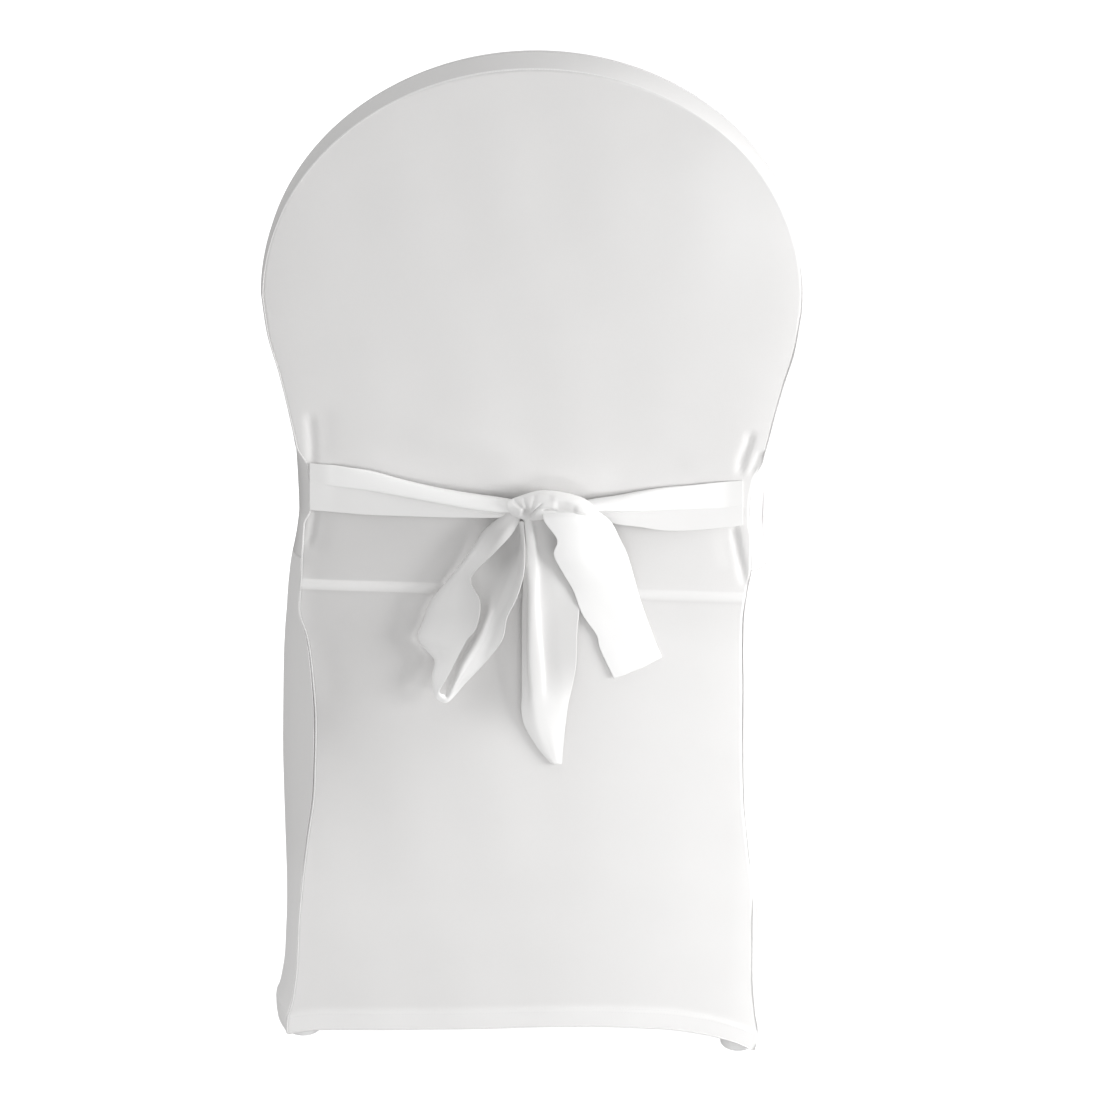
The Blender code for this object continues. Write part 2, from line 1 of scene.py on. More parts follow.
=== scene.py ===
"""A white stretch cover pulled over a round-backed banquet chair, with two ties in a half bow.

Metres, +Z up; the rear of the cover faces -Y and the seat points to +Y. The pieces come in the
order in which they are made up: the panels, the seams and hems that join and edge them, the foot
pockets, then the ties, their knot and what hangs from it, and last the studio.
"""
import math

import bpy
import numpy as np
from mathutils import Matrix, Vector


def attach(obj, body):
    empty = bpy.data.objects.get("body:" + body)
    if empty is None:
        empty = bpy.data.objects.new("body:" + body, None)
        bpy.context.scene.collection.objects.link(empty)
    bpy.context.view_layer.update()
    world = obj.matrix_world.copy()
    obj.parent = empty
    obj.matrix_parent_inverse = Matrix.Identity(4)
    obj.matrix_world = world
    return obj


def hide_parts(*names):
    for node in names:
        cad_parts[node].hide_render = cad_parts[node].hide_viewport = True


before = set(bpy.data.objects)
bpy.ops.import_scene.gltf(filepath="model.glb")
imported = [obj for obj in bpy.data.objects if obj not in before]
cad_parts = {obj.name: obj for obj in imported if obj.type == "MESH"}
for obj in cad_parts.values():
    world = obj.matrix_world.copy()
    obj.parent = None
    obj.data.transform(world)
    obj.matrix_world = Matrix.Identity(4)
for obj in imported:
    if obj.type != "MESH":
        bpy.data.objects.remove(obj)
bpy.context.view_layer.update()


# ---- rear panel --------------------------------------------------------------------------------
# One piece of smooth white stretch knit from the rear hem up to the round of the chair's head.
# It is pulled tight over the two rear posts and the rail between them, which shows as a ridge,
# pressed in at the waist by the ties, and sewn all round.
MM = 0.001
CLOTH = 1.0 * MM
DATUM_Y = -0.1646                     # the depths below are measured from here
HEAD_HALF_WIDTH = 0.2346
HEAD_CENTRE = 0.710
HEAD_TOP = 0.923
HEAD_SKEW = 0.033                     # the head leans this far to the right for each metre up
SEAT_HEIGHT = 0.465
HEM = 0.0055                          # height of the hem at the four feet
HEM_FADE = 0.10                       # the hem's arch dies out over this height
HEM_DEPTH = 0.021                     # cloth turned up inside the hem
RAIL_HEIGHT = 0.441

# Half width of the cover seen from behind, by height.
OUTLINE = (
    (0.000, 0.2225), (0.006, 0.2252), (0.012, 0.2266), (0.020, 0.2268), (0.040, 0.2232),
    (0.080, 0.2190), (0.140, 0.2176), (0.230, 0.2190), (0.330, 0.2196), (0.412, 0.2184),
    (0.449, 0.2157), (0.487, 0.2095), (0.506, 0.2078), (0.524, 0.2084), (0.565, 0.2112),
    (0.600, 0.2166), (0.636, 0.2242), (0.674, 0.2336), (0.710, 0.2376))
# Depth of the rear face, by height; minus is further back.
REAR_FACE = (
    (0.000, -0.0620), (0.200, -0.0520), (0.441, -0.0400), (0.530, -0.0345), (0.620, -0.0460),
    (0.780, -0.0749), (0.923, -0.1007))
# How far the rear seams lie inside the outline: height, left, right.
SEAM_INSET = (
    (0.000, 0.0095, 0.0050), (0.040, 0.0130, 0.0040), (0.110, 0.0128, 0.0035),
    (0.158, 0.0163, 0.0045), (0.193, 0.0210, 0.0105), (0.250, 0.0284, 0.0188),
    (0.310, 0.0297, 0.0222), (0.364, 0.0254, 0.0238), (0.392, 0.0206, 0.0248),
    (0.416, 0.0130, 0.0246), (0.445, 0.0125, 0.0200), (0.470, 0.0095, 0.0125),
    (0.496, 0.0072, 0.0092), (0.509, 0.0123, 0.0110), (0.530, 0.0134, 0.0122),
    (0.550, 0.0115, 0.0105), (0.568, 0.0040, 0.0045), (0.600, 0.0030, 0.0030),
    (0.710, 0.0030, 0.0030))
# The rear hem's rise above the feet, by distance from the centre line.
REAR_HEM = (
    (-0.2140, 0.0), (-0.2050, 0.0025), (-0.1900, 0.0050), (-0.1700, 0.0065), (-0.1100, 0.0087),
    (-0.0350, 0.0125), (0.0390, 0.0173), (0.1000, 0.0190), (0.1320, 0.0188), (0.1700, 0.0150),
    (0.2000, 0.0080), (0.2180, 0.0))


def read(table, at, column=1):
    """Smooth values between a table's rows, with no overshoot."""
    rows = np.array(table)
    knots, values = rows[:, 0], rows[:, column]
    gaps = np.diff(knots)
    slopes = np.diff(values) / gaps
    same_way = slopes[:-1] * slopes[1:] > 0
    middle = np.where(same_way, slopes[:-1] + slopes[1:], 1.0)
    bends = np.where(same_way, 2 * slopes[:-1] * slopes[1:] / middle, 0.0)
    tangents = np.concatenate([slopes[:1], bends, slopes[-1:]])
    at = np.clip(at, knots[0], knots[-1])
    i = np.clip(np.searchsorted(knots, at, side="right") - 1, 0, len(gaps) - 1)
    t, span = (at - knots[i]) / gaps[i], gaps[i]
    return ((2 * t ** 3 - 3 * t ** 2 + 1) * values[i] + (t ** 3 - 2 * t ** 2 + t) * span * tangents[i]
            + (3 * t ** 2 - 2 * t ** 3) * values[i + 1] + (t ** 3 - t ** 2) * span * tangents[i + 1])


def ease(t):
    """An even change from 0 to 1 while t goes from 0 to 1."""
    t = np.clip(t, 0.0, 1.0)
    return t * t * (3 - 2 * t)


def rear(height):
    """Y of the rear face."""
    return DATUM_Y + read(REAR_FACE, height)


def hump(x, z, middle, size):
    """A soft round rise of height 1."""
    return np.exp(-((x - middle[0]) / size[0]) ** 2 - ((z - middle[1]) / size[1]) ** 2)


def humps(x, z, spots):
    """Several, each with its height, middle and size."""
    return sum(height * hump(x, z, middle, size) for height, middle, size in spots)


def soft_folds(a, b, folds):
    """The height of folds laid over a panel. Each has a height, a width and its line, in mm."""
    total = np.zeros_like(a)
    for height, width, line in folds:
        points = np.array(line) * MM
        steps = np.linalg.norm(np.diff(points, axis=0), axis=1)
        gone = np.concatenate([[0.0], np.cumsum(steps)])
        nearest, along = np.full(a.shape, np.inf), np.zeros(a.shape)
        for i, step in enumerate(steps):
            way = (points[i + 1] - points[i]) / step
            run = np.clip((a - points[i, 0]) * way[0] + (b - points[i, 1]) * way[1], 0, step)
            gap = np.hypot(a - points[i, 0] - run * way[0], b - points[i, 1] - run * way[1])
            along = np.where(gap < nearest, (gone[i] + run) / gone[-1], along)
            nearest = np.minimum(gap, nearest)
        ends = ease(4 * along) * ease(4 - 4 * along)
        total += height * MM * np.exp(-(nearest / (width * MM)) ** 2) * ends
    return total


def unevenness(a, b, seed):
    """The faint waves that stretched cloth never quite loses, about half a millimetre high."""
    waves = np.random.default_rng(seed).uniform(0, 1, (7, 3))
    total = np.zeros_like(a)
    for turn, length, phase in waves:
        reach = (0.05 + 0.12 * length) / (2 * math.pi)
        total += np.sin((a * math.cos(math.pi * turn) + b * math.sin(math.pi * turn)) / reach
                        + 2 * math.pi * phase)
    return 0.10 * MM * total


SKIRT_ROWS = np.concatenate([
    np.arange(HEM, 0.036, 1.4 * MM), np.arange(0.037, 0.426, 4.0 * MM),
    np.arange(0.427, 0.4565, 1.2 * MM), np.linspace(0.458, SEAT_HEIGHT, 4)])
WAIST_ROWS = np.concatenate([
    np.arange(SEAT_HEIGHT + 2 * MM, 0.600, 2.0 * MM), np.arange(0.600, HEAD_CENTRE - MM, 3.6 * MM)])
ROUND_FOOT = 0.636                    # above this the rows bend to the round of the head
HEAD_STEPS = 92
HEAD_ANGLES = np.linspace(0, math.pi / 2, HEAD_STEPS + 1)
RIM_CROWN = 3.0 * MM                  # how far the rim band bulges past its seams
LEAN = math.radians(10.2)             # of the chair back above its waist
BACK_DEPTH = 0.045


def forward(height):
    """The direction of the chair back's depth: level below the seat, then leaning with it."""
    lean = LEAN * ease((height - SEAT_HEIGHT) / 0.12)
    return np.stack([np.zeros_like(lean), np.cos(lean), np.sin(lean)], axis=-1)


def rear_seam(heights, side):
    """The rear seam on one side at some heights: its points, the way out, and its inset."""
    inset = read(SEAM_INSET, heights, 1 if side < 0 else 2)
    x = side * (read(OUTLINE, heights) - inset)
    points = np.stack([x, rear(heights), heights], axis=-1)
    return points, np.tile([side, 0.0, 0.0], (len(heights), 1)), inset


def head_seam(side):
    """The same for the round of the head, from its widest place to its top."""
    rise = (HEAD_TOP - HEAD_CENTRE) * np.sin(HEAD_ANGLES)
    x = side * HEAD_HALF_WIDTH * np.cos(HEAD_ANGLES) + HEAD_SKEW * rise
    height = HEAD_CENTRE + rise
    way_out = np.stack([side * np.cos(HEAD_ANGLES), 0 * rise, np.sin(HEAD_ANGLES)], axis=-1)
    return np.stack([x, rear(height), height], axis=-1), way_out, np.full(len(rise), RIM_CROWN)


def whole_seam(heights, side):
    """Both, one after the other."""
    return tuple(np.concatenate(pair) for pair in zip(rear_seam(heights, side), head_seam(side)))


def rim_points(seam, parts):
    """Points across the rim band, from 0 at the rear seam to 1 at the front seam."""
    points, way_out, inset = seam
    part = np.asarray(parts)[None, :, None]
    sideways = (inset - RIM_CROWN)[:, None, None] * part
    bulge = 0.5 * (inset + RIM_CROWN)[:, None, None] * (1 - np.abs(2 * part - 1) ** 2.5)
    level = points[:, 2]
    return (points[:, None] + forward(level)[:, None] * BACK_DEPTH * part
            + way_out[:, None] * (sideways + bulge))


COLUMN_TURNS = np.linspace(-1, 1, HEAD_STEPS + 1)
# Places across a panel from 0 to 1, closer together at its seams.
COLUMNS = 0.5 + 0.5 * (0.5 * COLUMN_TURNS + 0.5 * np.sin(math.pi / 2 * COLUMN_TURNS))


def lerp(start, end, part):
    return start * (1 - part) + end * part


def rows_between(left, right):
    """Rows of points across a panel, from its left edge to its right edge."""
    return lerp(left[:, None], right[:, None], COLUMNS[None, :, None])


def filled_arch(left, right):
    """Rows that fill a round-topped shape from its two sides, each listed up to the very top.
    The sides' last stretches together make the top row."""
    u = COLUMNS[None, :, None]
    rows = len(left) - HEAD_STEPS // 2
    v = np.linspace(0, 1, rows)[:, None, None]
    top = np.concatenate([left[rows - 1:], right[-2:rows - 2:-1]])[None]
    foot = lerp(left[None, :1], right[None, :1], u)
    sides = lerp(left[:rows, None], right[:rows, None], u)
    chord = lerp(foot, lerp(top[:, :1], top[:, -1:], u), v)
    return lerp(foot, top, v) + sides - chord


# Folds of the rear panel: height, width and line, in mm.
REAR_FOLDS = (
    # beside the left tie: above it, and below it
    (-2.2, 4.0, ((-196, 606), (-194.5, 586), (-193.5, 566), (-194, 546))),
    (-1.2, 11.0, ((-186, 612), (-184, 586), (-184, 552))),
    (-1.8, 3.2, ((-191.5, 514), (-192.5, 500), (-195.5, 484), (-199, 470))),
    (-0.8, 8.0, ((-183, 514), (-186, 492), (-192, 462))),
    # beside the right tie: above it, and below it
    (-2.4, 3.2, ((195.5, 600), (193.5, 584), (188.5, 568), (186.5, 550))),
    (-1.6, 2.6, ((206, 580), (201.5, 566), (195, 552))),
    (-2.2, 3.2, ((182.5, 514), (184.5, 498), (188.5, 480), (193, 462), (197, 446))),
    (-0.9, 9.0, ((176, 512), (178, 488), (184, 464))),
    # shallow drag above the ties
    (-0.8, 12.0, ((-150, 568), (-90, 556), (-20, 545))),
    (0.9, 13.0, ((-120, 590), (-40, 574), (10, 556))),
    (-0.7, 12.0, ((150, 566), (100, 556), (60, 546))),
    # slack beside the left rear post
    (-0.9, 13.0, ((-190, 400), (-180, 360), (-172, 320))),
)


def turned_up(z, rise, height=0.7 * MM, edge=1.6 * MM):
    """How far cloth stands out over the turned-up hem, which ends above in a soft edge."""
    return height * ease((HEM_DEPTH + HEM + rise - z) / edge)


def rear_relief(x, z):
    """How far the rear panel stands out from its plain face."""
    ridge = 2.2 * MM * np.exp(-np.abs((z - RAIL_HEIGHT) / (5.0 * MM)) ** 2.6)
    above_knot = 4.5 * MM * hump(x, z, (0.030, 0.534), (0.090, 0.020))
    dragged_in = -1.0 * MM * hump(x, z, (0.0, 0.520), (0.16, 0.012))
    below_ties = -1.6 * MM * hump(x, z, (-0.06, 0.485), (0.14, 0.026))
    sides = 1.6 * MM * np.clip(np.abs(x) / read(OUTLINE, z), 0, 1) ** 14
    hem = turned_up(z, read(REAR_HEM, x), 0.6 * MM, 6.0 * MM)
    return (ridge + above_knot + dragged_in + below_ties - sides + hem
            + soft_folds(x, z, REAR_FOLDS) + unevenness(x, z, 3))


# Painted shadow and shade on the rear panel, below and beside the bow: how much greyer, middle and
# size.
SHADOW_SPOTS = (
    (0.20, (-0.09, 0.482), (0.09, 0.03)), (0.16, (-0.19, 0.315), (0.03, 0.035)),
    (0.42, (-0.036, 0.342), (0.028, 0.030)), (0.12, (-0.125, 0.392), (0.05, 0.035)))


def rear_backing_and_light(x, z):
    """How much whiter or greyer the rear panel is painted. Whiter over the rail, where it lies tight
    on the frame, with a painted highlight that grows to the right; in the hem, where it is double;
    beside the posts below the seat; and as painted light on the lower right of the skirt and on the
    right of the head. Below 0 it is greyer: painted shade and the bow's painted shadow, mostly over
    the left half of the skirt."""
    rail = ease((5.6 * MM - np.abs(z - RAIL_HEIGHT)) / (2.2 * MM))
    rail *= ease((np.abs(x - 0.004) - 0.075) / 0.030) * ease((0.208 - np.abs(x)) / 0.006)
    hem = ease((HEM_DEPTH + HEM + 0.004 + read(REAR_HEM, x) - z) / (11 * MM))
    post = ease((np.abs(x) / read(OUTLINE, z) - 0.86) / 0.10) * 0.25 * ease((SEAT_HEIGHT - z) / 0.02)
    # painted light: the lower right of the skirt is whiter, towards the key light
    right = 0.4 * ease((x - 0.03) / 0.12) * ease((0.43 - z) / 0.05)
    # painted shadow of the bow: greyer over the left of the skirt below the ties
    shaded = 0.50 * ease(-x / 0.20) * ease((z - 0.12) / 0.24) * ease((0.53 - z) / 0.02)
    shaded += humps(x, z, SHADOW_SPOTS)
    # a painted highlight on the rail that grows towards the right
    rail_highlight = rail * (0.32 + 0.48 * ease((x + 0.15) / 0.2))
    # painted light on the right of the head
    lit_side = 0.60 * hump(x, z, (0.190, 0.80), (0.060, 0.07))
    return np.clip(rail_highlight + 0.7 * hem + post + right + lit_side - shaded * (1 - rail), -1, 1)


def arch_fade(heights):
    """How much of the hem's arch a row takes: all at the hem, none above its reach."""
    return 1 - ease((heights - HEM) / HEM_FADE)[:, None]


def rear_panel_grid():
    straight = np.concatenate([SKIRT_ROWS, WAIST_ROWS[WAIST_ROWS < ROUND_FOOT]])
    left, right = rear_seam(straight, -1)[0], rear_seam(straight, 1)[0]
    grid = rows_between(left, right)
    grid[..., 2] += read(REAR_HEM, grid[..., 0]) * arch_fade(straight)
    round_rows = WAIST_ROWS[WAIST_ROWS >= ROUND_FOOT]
    head = filled_arch(whole_seam(round_rows, -1)[0], whole_seam(round_rows, 1)[0])
    grid = np.concatenate([grid, head])
    x, z = grid[..., 0], grid[..., 2]
    grid[..., 1] = rear(z) - rear_relief(x, z)
    return grid


def travelled(line):
    """How far along a line each of its points lies."""
    return np.concatenate([[0.0], np.cumsum(np.linalg.norm(np.diff(line, axis=0), axis=1))])


def weave_of(grid):
    """Each point's place in the cloth: metres along the courses and along the wales."""
    across = np.linalg.norm(np.diff(grid, axis=1), axis=2)
    across = np.concatenate([np.zeros((len(grid), 1)), np.cumsum(across, axis=1)], axis=1)
    across -= across[:, across.shape[1] // 2, None]
    along = travelled(grid[:, grid.shape[1] // 2])
    return np.stack([across, np.broadcast_to(along[:, None], across.shape), 0 * across], axis=-1)


def mesh_from(name, points, faces, weave, made_of, replaced):
    """A piece with its cloth coordinates, riding on the one body and standing for its solids."""
    mesh = bpy.data.meshes.new(name)
    mesh.from_pydata(points.reshape(-1, 3), [], faces)
    mesh.attributes.new("weave", "FLOAT_VECTOR", "POINT").data.foreach_set("vector", weave.ravel())
    mesh.shade_smooth()
    mesh.materials.append(made_of)
    piece = bpy.data.objects.new(name, mesh)
    bpy.context.scene.collection.objects.link(piece)
    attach(piece, "root")
    if replaced:
        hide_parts(*replaced)
    return piece


def quads(rows, columns, closed=False):
    """The faces of a grid of points; closed joins its last column to its first."""
    faces = []
    for row in range(rows - 1):
        for column in range(columns if closed else columns - 1):
            after = (column + 1) % columns
            faces.append((row * columns + column, row * columns + after,
                          (row + 1) * columns + after, (row + 1) * columns + column))
    return faces


def panel(name, grid, outwards, made_of, replaced, offset=-1.0, thickness=CLOTH,
          backing_and_light=None, even=True):
    """A sheet of cloth: the grid is its outer face, and the cloth's thickness lies inside it."""
    backing_and_light = np.zeros(grid.shape[:2]) if backing_and_light is None else backing_and_light
    middle = grid[len(grid) // 2, grid.shape[1] // 2]
    step_up = grid[len(grid) // 2 + 1, grid.shape[1] // 2] - middle
    step_right = grid[len(grid) // 2, grid.shape[1] // 2 + 1] - middle
    if np.dot(np.cross(step_right, step_up), outwards) < 0:
        grid, backing_and_light = grid[:, ::-1], backing_and_light[:, ::-1]
    piece = mesh_from(name, grid, quads(*grid.shape[:2]), weave_of(grid), made_of, replaced)
    piece.data.attributes.new("backing_and_light", "FLOAT", "POINT").data.foreach_set("value", backing_and_light.ravel())
    thick = piece.modifiers.new("cloth", "SOLIDIFY")
    thick.thickness = thickness
    thick.offset = offset
    thick.use_even_offset = even
    return piece


class Wire:
    """A number on its way through a material's nodes, so that shader maths reads as arithmetic."""

    def __init__(self, shader, socket):
        self.shader, self.socket = shader, socket

    def math(self, operation, *values):
        return self.shader.node("ShaderNodeMath", {"operation": operation}, dict(enumerate(values)))

    def __add__(self, other):
        return self.math("ADD", self, other)

    def __sub__(self, other):
        return self.math("SUBTRACT", self, other)

    def __rsub__(self, other):
        return self.math("SUBTRACT", other, self)

    def __mul__(self, other):
        return self.math("MULTIPLY", self, other)

    def __truediv__(self, other):
        return self.math("DIVIDE", self, other)

    def __abs__(self):
        return self.math("ABSOLUTE", self)

    __radd__, __rmul__ = __add__, __mul__

    def sine(self):
        return self.math("SINE", self)


class Shader:
    """A material whose nodes come from one method."""

    def __init__(self, name):
        self.material = bpy.data.materials.new(name)
        self.material.use_nodes = True
        self.tree = self.material.node_tree
        self.surface = self.tree.nodes["Principled BSDF"]

    def node(self, kind, settings=(), sockets=(), output=0):
        made = self.tree.nodes.new(kind)
        for key, value in dict(settings).items():
            setattr(made, key, value)
        for key, value in dict(sockets).items():
            self.put(made.inputs[key], value)
        return Wire(self, made.outputs[output])

    def mix(self, factor, first, second):
        """A colour between two; each is a wire or a plain colour."""
        first, second = (c if isinstance(c, Wire) else (*c, 1) for c in (first, second))
        return self.node("ShaderNodeMix", {"data_type": "RGBA"},
                         {"Factor": factor, "A": first, "B": second}, output="Result")

    def noise(self, scale, detail):
        """Cloudy values about one half, fixed to the piece."""
        place = self.node("ShaderNodeTexCoord", output="Object")
        return self.node("ShaderNodeTexNoise",
                         sockets={"Vector": place, "Scale": scale, "Detail": detail})

    def put(self, socket, value):
        if isinstance(value, Wire):
            self.tree.links.new(value.socket, socket)
        else:
            socket.default_value = value

    def finish(self, **sockets):
        for key, value in sockets.items():
            self.put(self.surface.inputs[key.replace("_", " ")], value)
        return self.material


WALE = 0.62 * MM                      # width of one column of knitted loops
COURSE = 0.50 * MM                    # height of one row of them
SHADE_GREY = (0.505, 0.498, 0.494)      # the grey of painted shade on the knit


def knit(name, light, shade, backed_or_lit, roughness, relief):
    """Smooth warp-knit stretch cloth: fine columns of slanting loops, with a faint satin face.
    Its backing_and_light attribute paints it whiter, where something pale lies behind it and as
    painted light, and greyer, as painted shade."""
    cloth = Shader(name)
    weave = cloth.node("ShaderNodeAttribute", {"attribute_name": "weave"}, output="Vector")
    across = cloth.node("ShaderNodeSeparateXYZ", sockets={0: weave}, output="X") / WALE
    along = cloth.node("ShaderNodeSeparateXYZ", sockets={0: weave}, output="Y") / COURSE
    slant = cloth.node("ShaderNodeMath", {"operation": "PINGPONG"}, {0: across, 1: 0.5})
    column = abs((across * math.pi).sine())
    loop = ((along + slant * 0.7) * (2 * math.pi)).sine() * 0.5 + 0.5
    stitch = column * (0.65 + 0.35 * loop)
    backing_and_light = cloth.node("ShaderNodeAttribute", {"attribute_name": "backing_and_light"}, output="Fac")
    whitened, shaded = 0.5 * (abs(backing_and_light) + backing_and_light), 0.5 * (abs(backing_and_light) - backing_and_light)
    cloudy, grain = cloth.noise(7.0, 3.0), cloth.noise(420.0, 2.0)
    tone = cloth.mix(0.45 * stitch + 0.35 * cloudy + 0.25 * grain, shade, light)
    # painted light and shade: whiter or greyer as the backing_and_light attribute says
    tone = cloth.mix(shaded, cloth.mix(whitened, tone, backed_or_lit), SHADE_GREY)
    bump = cloth.node("ShaderNodeBump", sockets={
        "Strength": relief, "Distance": 0.25 * MM, "Height": stitch + 0.6 * grain}, output="Normal")
    return cloth.finish(
        Base_Color=tone, Roughness=roughness + 0.10 * cloudy - 0.05 * stitch, Normal=bump,
        Sheen_Weight=0.12, Sheen_Roughness=0.45, Specular_IOR_Level=0.38)


COVER_KNIT = knit("cover_knit", (0.836, 0.828, 0.820), (0.781, 0.773, 0.768), (0.904, 0.898, 0.892),
                  0.56, 0.30)

rear_grid = rear_panel_grid()
rear_panel = panel("rear_panel", rear_grid, (0, -1, 0), COVER_KNIT, ["back_panel"],
                   backing_and_light=rear_backing_and_light(rear_grid[..., 0], rear_grid[..., 2]))


# ---- rim band ----------------------------------------------------------------------------------
# A strip of the same knit as deep as the chair back. It runs from the seat up one side, over the
# round of the head and down the other, and joins the rear panel to the panel that is leant on.
TUCKED = 0.014                        # the band's edge starts just inside the rear panel's
RIM_PARTS = TUCKED + (1 - TUCKED) * (0.5 - 0.5 * np.cos(np.linspace(0, math.pi, 19)))


BACK_ROWS = np.concatenate([[SEAT_HEIGHT], WAIST_ROWS])


def over_head(left, right):
    """Up one side and down the other; both reach the top of the head."""
    return np.concatenate([left, right[-2::-1]])


def band_shade(x, z):
    """Painted shade: the band is greyer on its left, away from the light, most of all low down and
    away from the seam.
    """
    low = ease((0.70 - z) / 0.10)
    shaded = lerp(np.full(x.shape, 0.46), 0.20 + 0.62 * ease(RIM_PARTS / 0.45)[None, :], low)
    return -ease((0.09 - x) / 0.17) * shaded


band_grid = over_head(*(rim_points(whole_seam(BACK_ROWS, side), RIM_PARTS) for side in (-1, 1)))
rim_band = panel("rim_band_cloth", band_grid, (0, 0, 1), COVER_KNIT, ["rim_band"],
                 backing_and_light=band_shade(band_grid[..., 0], band_grid[..., 2]))


# ---- the panel that is leant on ----------------------------------------------------------------
# The inside of the back: the rear panel's shape again above the seat, over the chair's padding.
BACK_PAD = 10 * MM


def inside_grid():
    straight, rounded = BACK_ROWS[BACK_ROWS < ROUND_FOOT], BACK_ROWS[BACK_ROWS >= ROUND_FOOT]
    left, right = (rim_points(rear_seam(straight, side), [1.0])[:, 0] for side in (-1, 1))
    rows = rows_between(left, right)
    left, right = (rim_points(whole_seam(rounded, side), [1.0])[:, 0] for side in (-1, 1))
    grid = np.concatenate([rows, filled_arch(left, right)])
    up = np.linspace(0, 1, len(grid))[:, None]
    across = 2 * COLUMNS[None, :] - 1
    pad = BACK_PAD * (1 - np.abs(across) ** 4) * (1 - np.abs(2 * up - 1) ** 5)
    pad += unevenness(grid[..., 0], grid[..., 2], 5)
    return grid + forward(grid[..., 2]) * pad[..., None]


inside_panel = panel(
    "inside_back_cloth", inside_grid(), (0, 1, 0), COVER_KNIT, ["inside_back_panel"])


# ---- sides of the skirt ------------------------------------------------------------------------
# Two panels from the rear seams round to the front corners. The narrow strip beside each rear
# seam stands at the foot of the chair back's side, so the seam bows in between waist and foot.
FRONT_CORNER = 0.022
SIDE_ARCH = 0.0165                    # rise of the hem in the middle, over the feet
FRONT_ARCH = 0.0145
# Front of the skirt: height, half width, depth.
FRONT_FACE = (
    (0.000, 0.2215, 0.4245), (0.006, 0.2250, 0.4280), (0.018, 0.2275, 0.4300),
    (0.080, 0.2200, 0.4235), (0.250, 0.2150, 0.4160), (0.400, 0.2200, 0.4190),
    (0.465, 0.2225, 0.4150))
SIDE_PARTS = 0.5 - 0.5 * np.cos(np.linspace(0, math.pi, 64))[1:]
SIDE_FOLDS = (                        # y, z: tension from the foot pockets and the seat's corners
    (1.6, 11.0, ((-196, 60), (-150, 150), (-120, 250))),
    (1.8, 12.0, ((235, 50), (190, 150), (170, 260))),
    (-1.3, 10.0, ((-170, 55), (-128, 130), (-98, 215))),
    (-1.4, 11.0, ((212, 48), (165, 140), (142, 225))),
    (1.2, 9.0, ((-150, 440), (-100, 400), (-40, 385))),
    (-1.0, 9.0, ((-155, 420), (-110, 375), (-60, 350))),
    (1.2, 10.0, ((225, 440), (180, 395), (110, 370))),
)


def corner_points(heights, side, angles):
    """The round of a front corner: 0 faces sideways, 90 degrees faces forward."""
    half_width, depth = read(FRONT_FACE, heights, 1), DATUM_Y + read(FRONT_FACE, heights, 2)
    turns = np.radians(angles)[None, :]
    x = half_width[:, None] - FRONT_CORNER * (1 - np.cos(turns))
    y = depth[:, None] - FRONT_CORNER * (1 - np.sin(turns))
    return np.stack([side * x, y, np.broadcast_to(heights[:, None], x.shape)], axis=-1)


def side_rows(heights, side):
    """Points across a side panel: rear seam, rear post, on to the front and round the corner."""
    post = rim_points(rear_seam(heights, side), RIM_PARTS)
    corner = corner_points(heights, side, np.linspace(0, 45, 7))
    between = lerp(post[:, -1:], corner[:, :1], SIDE_PARTS[None, :, None])
    return np.concatenate([post, between, corner[:, 1:]], axis=1)


def skirt_side(side):
    grid = side_rows(SKIRT_ROWS, side)
    run = np.linspace(-1, 1, grid.shape[1])[None, :]
    rise = SIDE_ARCH * (1 - np.abs(run) ** 5)
    grid[..., 2] += rise * arch_fade(SKIRT_ROWS)
    y, z = grid[..., 1], grid[..., 2]
    inner = ease((1 - np.abs(run)) * 8) * ease((SEAT_HEIGHT - SKIRT_ROWS) / 0.015)[:, None]
    relief = soft_folds(y, z, SIDE_FOLDS) + unevenness(y, z, 8 + side)
    grid[..., 0] += side * (turned_up(z, rise) * ease((1 + run) * 10) + relief * inner)
    return grid


side_grids = {side: skirt_side(side) for side in (-1, 1)}
for side, hand in ((-1, "left"), (1, "right")):
    # painted light and shade: the side is whiter low down, as if lit from the floor, and greyer above
    low = 0.45 * ease((0.20 - side_grids[side][..., 2]) / 0.12)
    side_panel = panel("side_cloth_" + hand, side_grids[side], (side, 0, 0), COVER_KNIT,
                       ["side_panel_" + hand], backing_and_light=low - 0.12)


# ---- front of the skirt ------------------------------------------------------------------------
# The panel below the seat's front edge, sewn to the side panels in the round of each corner.
FRONT_FOLDS = (                       # x, z
    (1.7, 11.0, ((-205, 55), (-165, 150), (-140, 240))),
    (-1.3, 10.0, ((-180, 50), (-140, 130), (-118, 200))),
    (1.7, 11.0, ((205, 55), (168, 145), (146, 250))),
    (-1.3, 10.0, ((182, 50), (144, 128), (120, 205))),
)


def skirt_front():
    left, right = (corner_points(SKIRT_ROWS, side, np.linspace(45, 90, 7)) for side in (-1, 1))
    middle = lerp(left[:, -1:], right[:, -1:], SIDE_PARTS[None, :-1, None])
    grid = np.concatenate([left, middle, right[:, ::-1]], axis=1)
    across = np.abs(grid[..., 0] / grid[:, -1:, 0])
    rise = FRONT_ARCH * (1 - np.minimum(across, 1) ** 5)
    grid[..., 2] += rise * arch_fade(SKIRT_ROWS)
    x, z = grid[..., 0], grid[..., 2]
    relief = soft_folds(x, z, FRONT_FOLDS) + unevenness(x, z, 12)
    grid[..., 1] += turned_up(z, rise) + relief * ease((1 - across) * 12)
    return grid


front_grid = skirt_front()
front_panel = panel("front_cloth", front_grid, (0, 1, 0), COVER_KNIT, ["front_panel"])


# ---- seat --------------------------------------------------------------------------------------
# The panel that is sat on, drawn flat over the seat's padding and crowned by it.
SEAT_CROWN = 14 * MM


